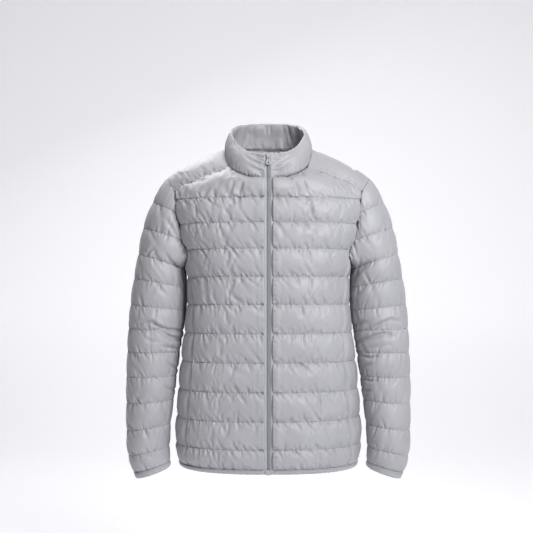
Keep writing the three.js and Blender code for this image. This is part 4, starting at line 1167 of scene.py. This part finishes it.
def pocket_piece(word, material, thread):
    """The narrow welt along a pocket opening, on the finished front panel, with a tack at each end."""
    panel = next(found for found in panels if found["name"] == "quilt_front_" + word)
    grid, out = panel["finished"], panel["finished_out"]
    middle_z = grid[-1, :, 2]
    rows = np.flatnonzero((middle_z < WELT_TOP_Z) & (middle_z > WELT_BOTTOM_Z))
    from_seam = np.linalg.norm(np.diff(grid[::-1], axis=0), axis=-1).cumsum(axis=0)
    spread = np.array([0.8, 1.3, 2.4, 3.8, 5.2, 6.3, 6.8])
    height = np.array([0.2, 1.5, 2.1, 2.2, 2.0, 1.4, 0.2])
    top = np.zeros((len(spread), len(rows), 3))
    low = np.zeros_like(top)
    wave = 0.35 * noise(41 if word == "left" else 42, (len(spread), len(rows)), (1.5, 9))
    for i, row in enumerate(rows):
        reach = np.concatenate([[0], from_seam[:, row]])
        for j, away in enumerate(spread):
            point = np.array([np.interp(away, reach, grid[::-1, row, axis]) for axis in range(3)])
            lift = unit(np.array([np.interp(away, reach, out[::-1, row, axis]) for axis in range(3)]))
            top[j, i] = point + lift * (height[j] + wave[j, i])
            low[j, i] = point - lift * 0.8
    welt = placed(wall_object("pocket_edge_" + word, top, low, False, material), "pocket_welt_" + word)
    runs = []
    for i in (1, 3, -4, -2):
        line = top[:, i] + unit(top[:, i] - low[:, i]) * 0.1
        runs.append(stitches(line, unit(top[:, i] - low[:, i]), 1.1, 1.0))
    placed(thread_object("pocket_tacks_" + word, runs, thread), slot="nylon_shell")


def placed(piece, *nodes, slot="nylon_shell"):
    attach(piece, "garment")
    if nodes:
        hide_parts(*nodes)
    return piece


def zip_pieces(tape, chain, teeth):
    """The light tapes beside the zip, the darker strip in its middle and the teeth."""
    flat = lambda x: 0.2 + 0.9 * np.sin(np.pi * np.clip((np.abs(x) - 3.7) / 6.3, 0, 1)) ** 0.5
    for word, side in (("left", 1), ("right", -1)):
        low, high = sorted((side * 3.7, side * 10.0))
        strip = strip_piece("tape_" + word, low, high, flat, 1.2, tape)
        piece = placed(strip, "zip_tape_" + word, slot="zip_tape")
    core = lambda x: 0.5 + 0.25 * np.cos(np.pi * x / 3.5)
    piece = placed(strip_piece("zip_core", -3.5, 3.5, core, 1.0, chain), "zip_chain", slot="zip_tape")
    placed(coil_piece(teeth), slot="zip_teeth")


def camera_and_light():
    scene = bpy.context.scene
    lens = bpy.data.cameras.new("camera")
    lens.sensor_fit = "HORIZONTAL"
    lens.angle = 2 * math.atan(0.5785 / 1.8)
    camera = bpy.data.objects.new("camera", lens)
    camera.location = (-0.0039, -1.8, -0.303)
    aim = Vector((-0.0039, 0, -0.252)) - camera.location
    camera.rotation_euler = aim.to_track_quat("-Z", "Y").to_euler()
    scene.collection.objects.link(camera)
    scene.camera = camera
    world = bpy.data.worlds.new("studio")
    world.use_nodes = True
    sky = world.node_tree.nodes["Background"]
    sky.inputs["Color"].default_value = (0.90, 0.90, 0.92, 1)
    sky.inputs["Strength"].default_value = 0.11
    scene.world = world
    area_light("key", (1.2, -1.9, 1.1), 1.0, 76)
    area_light("fill", (-1.1, -1.9, 0.8), 1.2, 5)
    area_light("top", (0.1, -0.4, 2.0), 1.0, 12)
    area_light("rear", (-0.9, 1.2, 1.7), 1.0, 40)
    scene.view_settings.view_transform = "Standard"


def area_light(name, place, size, power):
    lamp = bpy.data.lights.new(name, "AREA")
    lamp.size = size
    lamp.energy = power
    holder = bpy.data.objects.new(name, lamp)
    holder.location = place
    holder.rotation_euler = (Vector((0, 0, -0.3)) - Vector(place)).to_track_quat("-Z", "Y").to_euler()
    bpy.context.scene.collection.objects.link(holder)


def backdrop():
    """A pale floor that turns up into a wall behind the jacket."""
    material, _, shader = node_material("pale_backdrop", (0.80, 0.80, 0.82), 0.9)
    shader.inputs["Emission Color"].default_value = (1.0, 1.0, 1.03, 1)
    shader.inputs["Emission Strength"].default_value = 0.30
    wide, radius, floor_z, wall_y = 5500, 700, -1150, 2900
    section = [(-3500, floor_z), (wall_y - radius, floor_z)]
    for step in range(1, 13):
        angle = math.pi / 2 * step / 12
        section.append((wall_y - radius + radius * math.sin(angle), floor_z + radius * (1 - math.cos(angle))))
    section.append((wall_y, 3600))
    grid = np.array([[(x, y, z) for y, z in section] for x in (-wide, wide)], float)
    faces = grid_faces(2, len(section), False).tolist()
    sheet = new_object("backdrop", grid.reshape(-1, 3) * MM, faces, material)


def build():
    nylon = nylon_material()
    tape = tape_material("light_tape", (0.37, 0.375, 0.395))
    chain = tape_material("zip_strip", (0.235, 0.24, 0.27))
    teeth, _, _ = node_material("coil_teeth", (0.20, 0.205, 0.23), 0.4)
    paint = paint_material()
    thread, _, _ = node_material("grey_thread", (0.27, 0.27, 0.29), 0.6)
    camera_and_light()
    backdrop()
    body_panels()
    sleeve_panels()
    yoke_panels()
    collar_panel()
    simulate_cloth()
    for panel in panels:
        make = collar_piece if panel["name"] == "quilt_collar" else quilted_piece
        piece = placed(make(panel, nylon), panel["name"].removeprefix("quilt_"))
    hem = placed(hem_piece(nylon), "hem_binding")
    for word, side in (("left", 1), ("right", -1)):
        cuff = placed(cuff_piece(word, side, nylon), "cuff_binding_" + word)
    zip_pieces(tape, chain, teeth)
    for node in ("zip_slider", "zip_pull_tab", "zip_end_box"):
        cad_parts[node].data.materials.clear()
        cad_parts[node].data.materials.append(paint)
    quilt_stitches(thread)
    seam_stitches(thread)
    for word in ("left", "right"):
        pocket_piece(word, nylon, thread)


build()
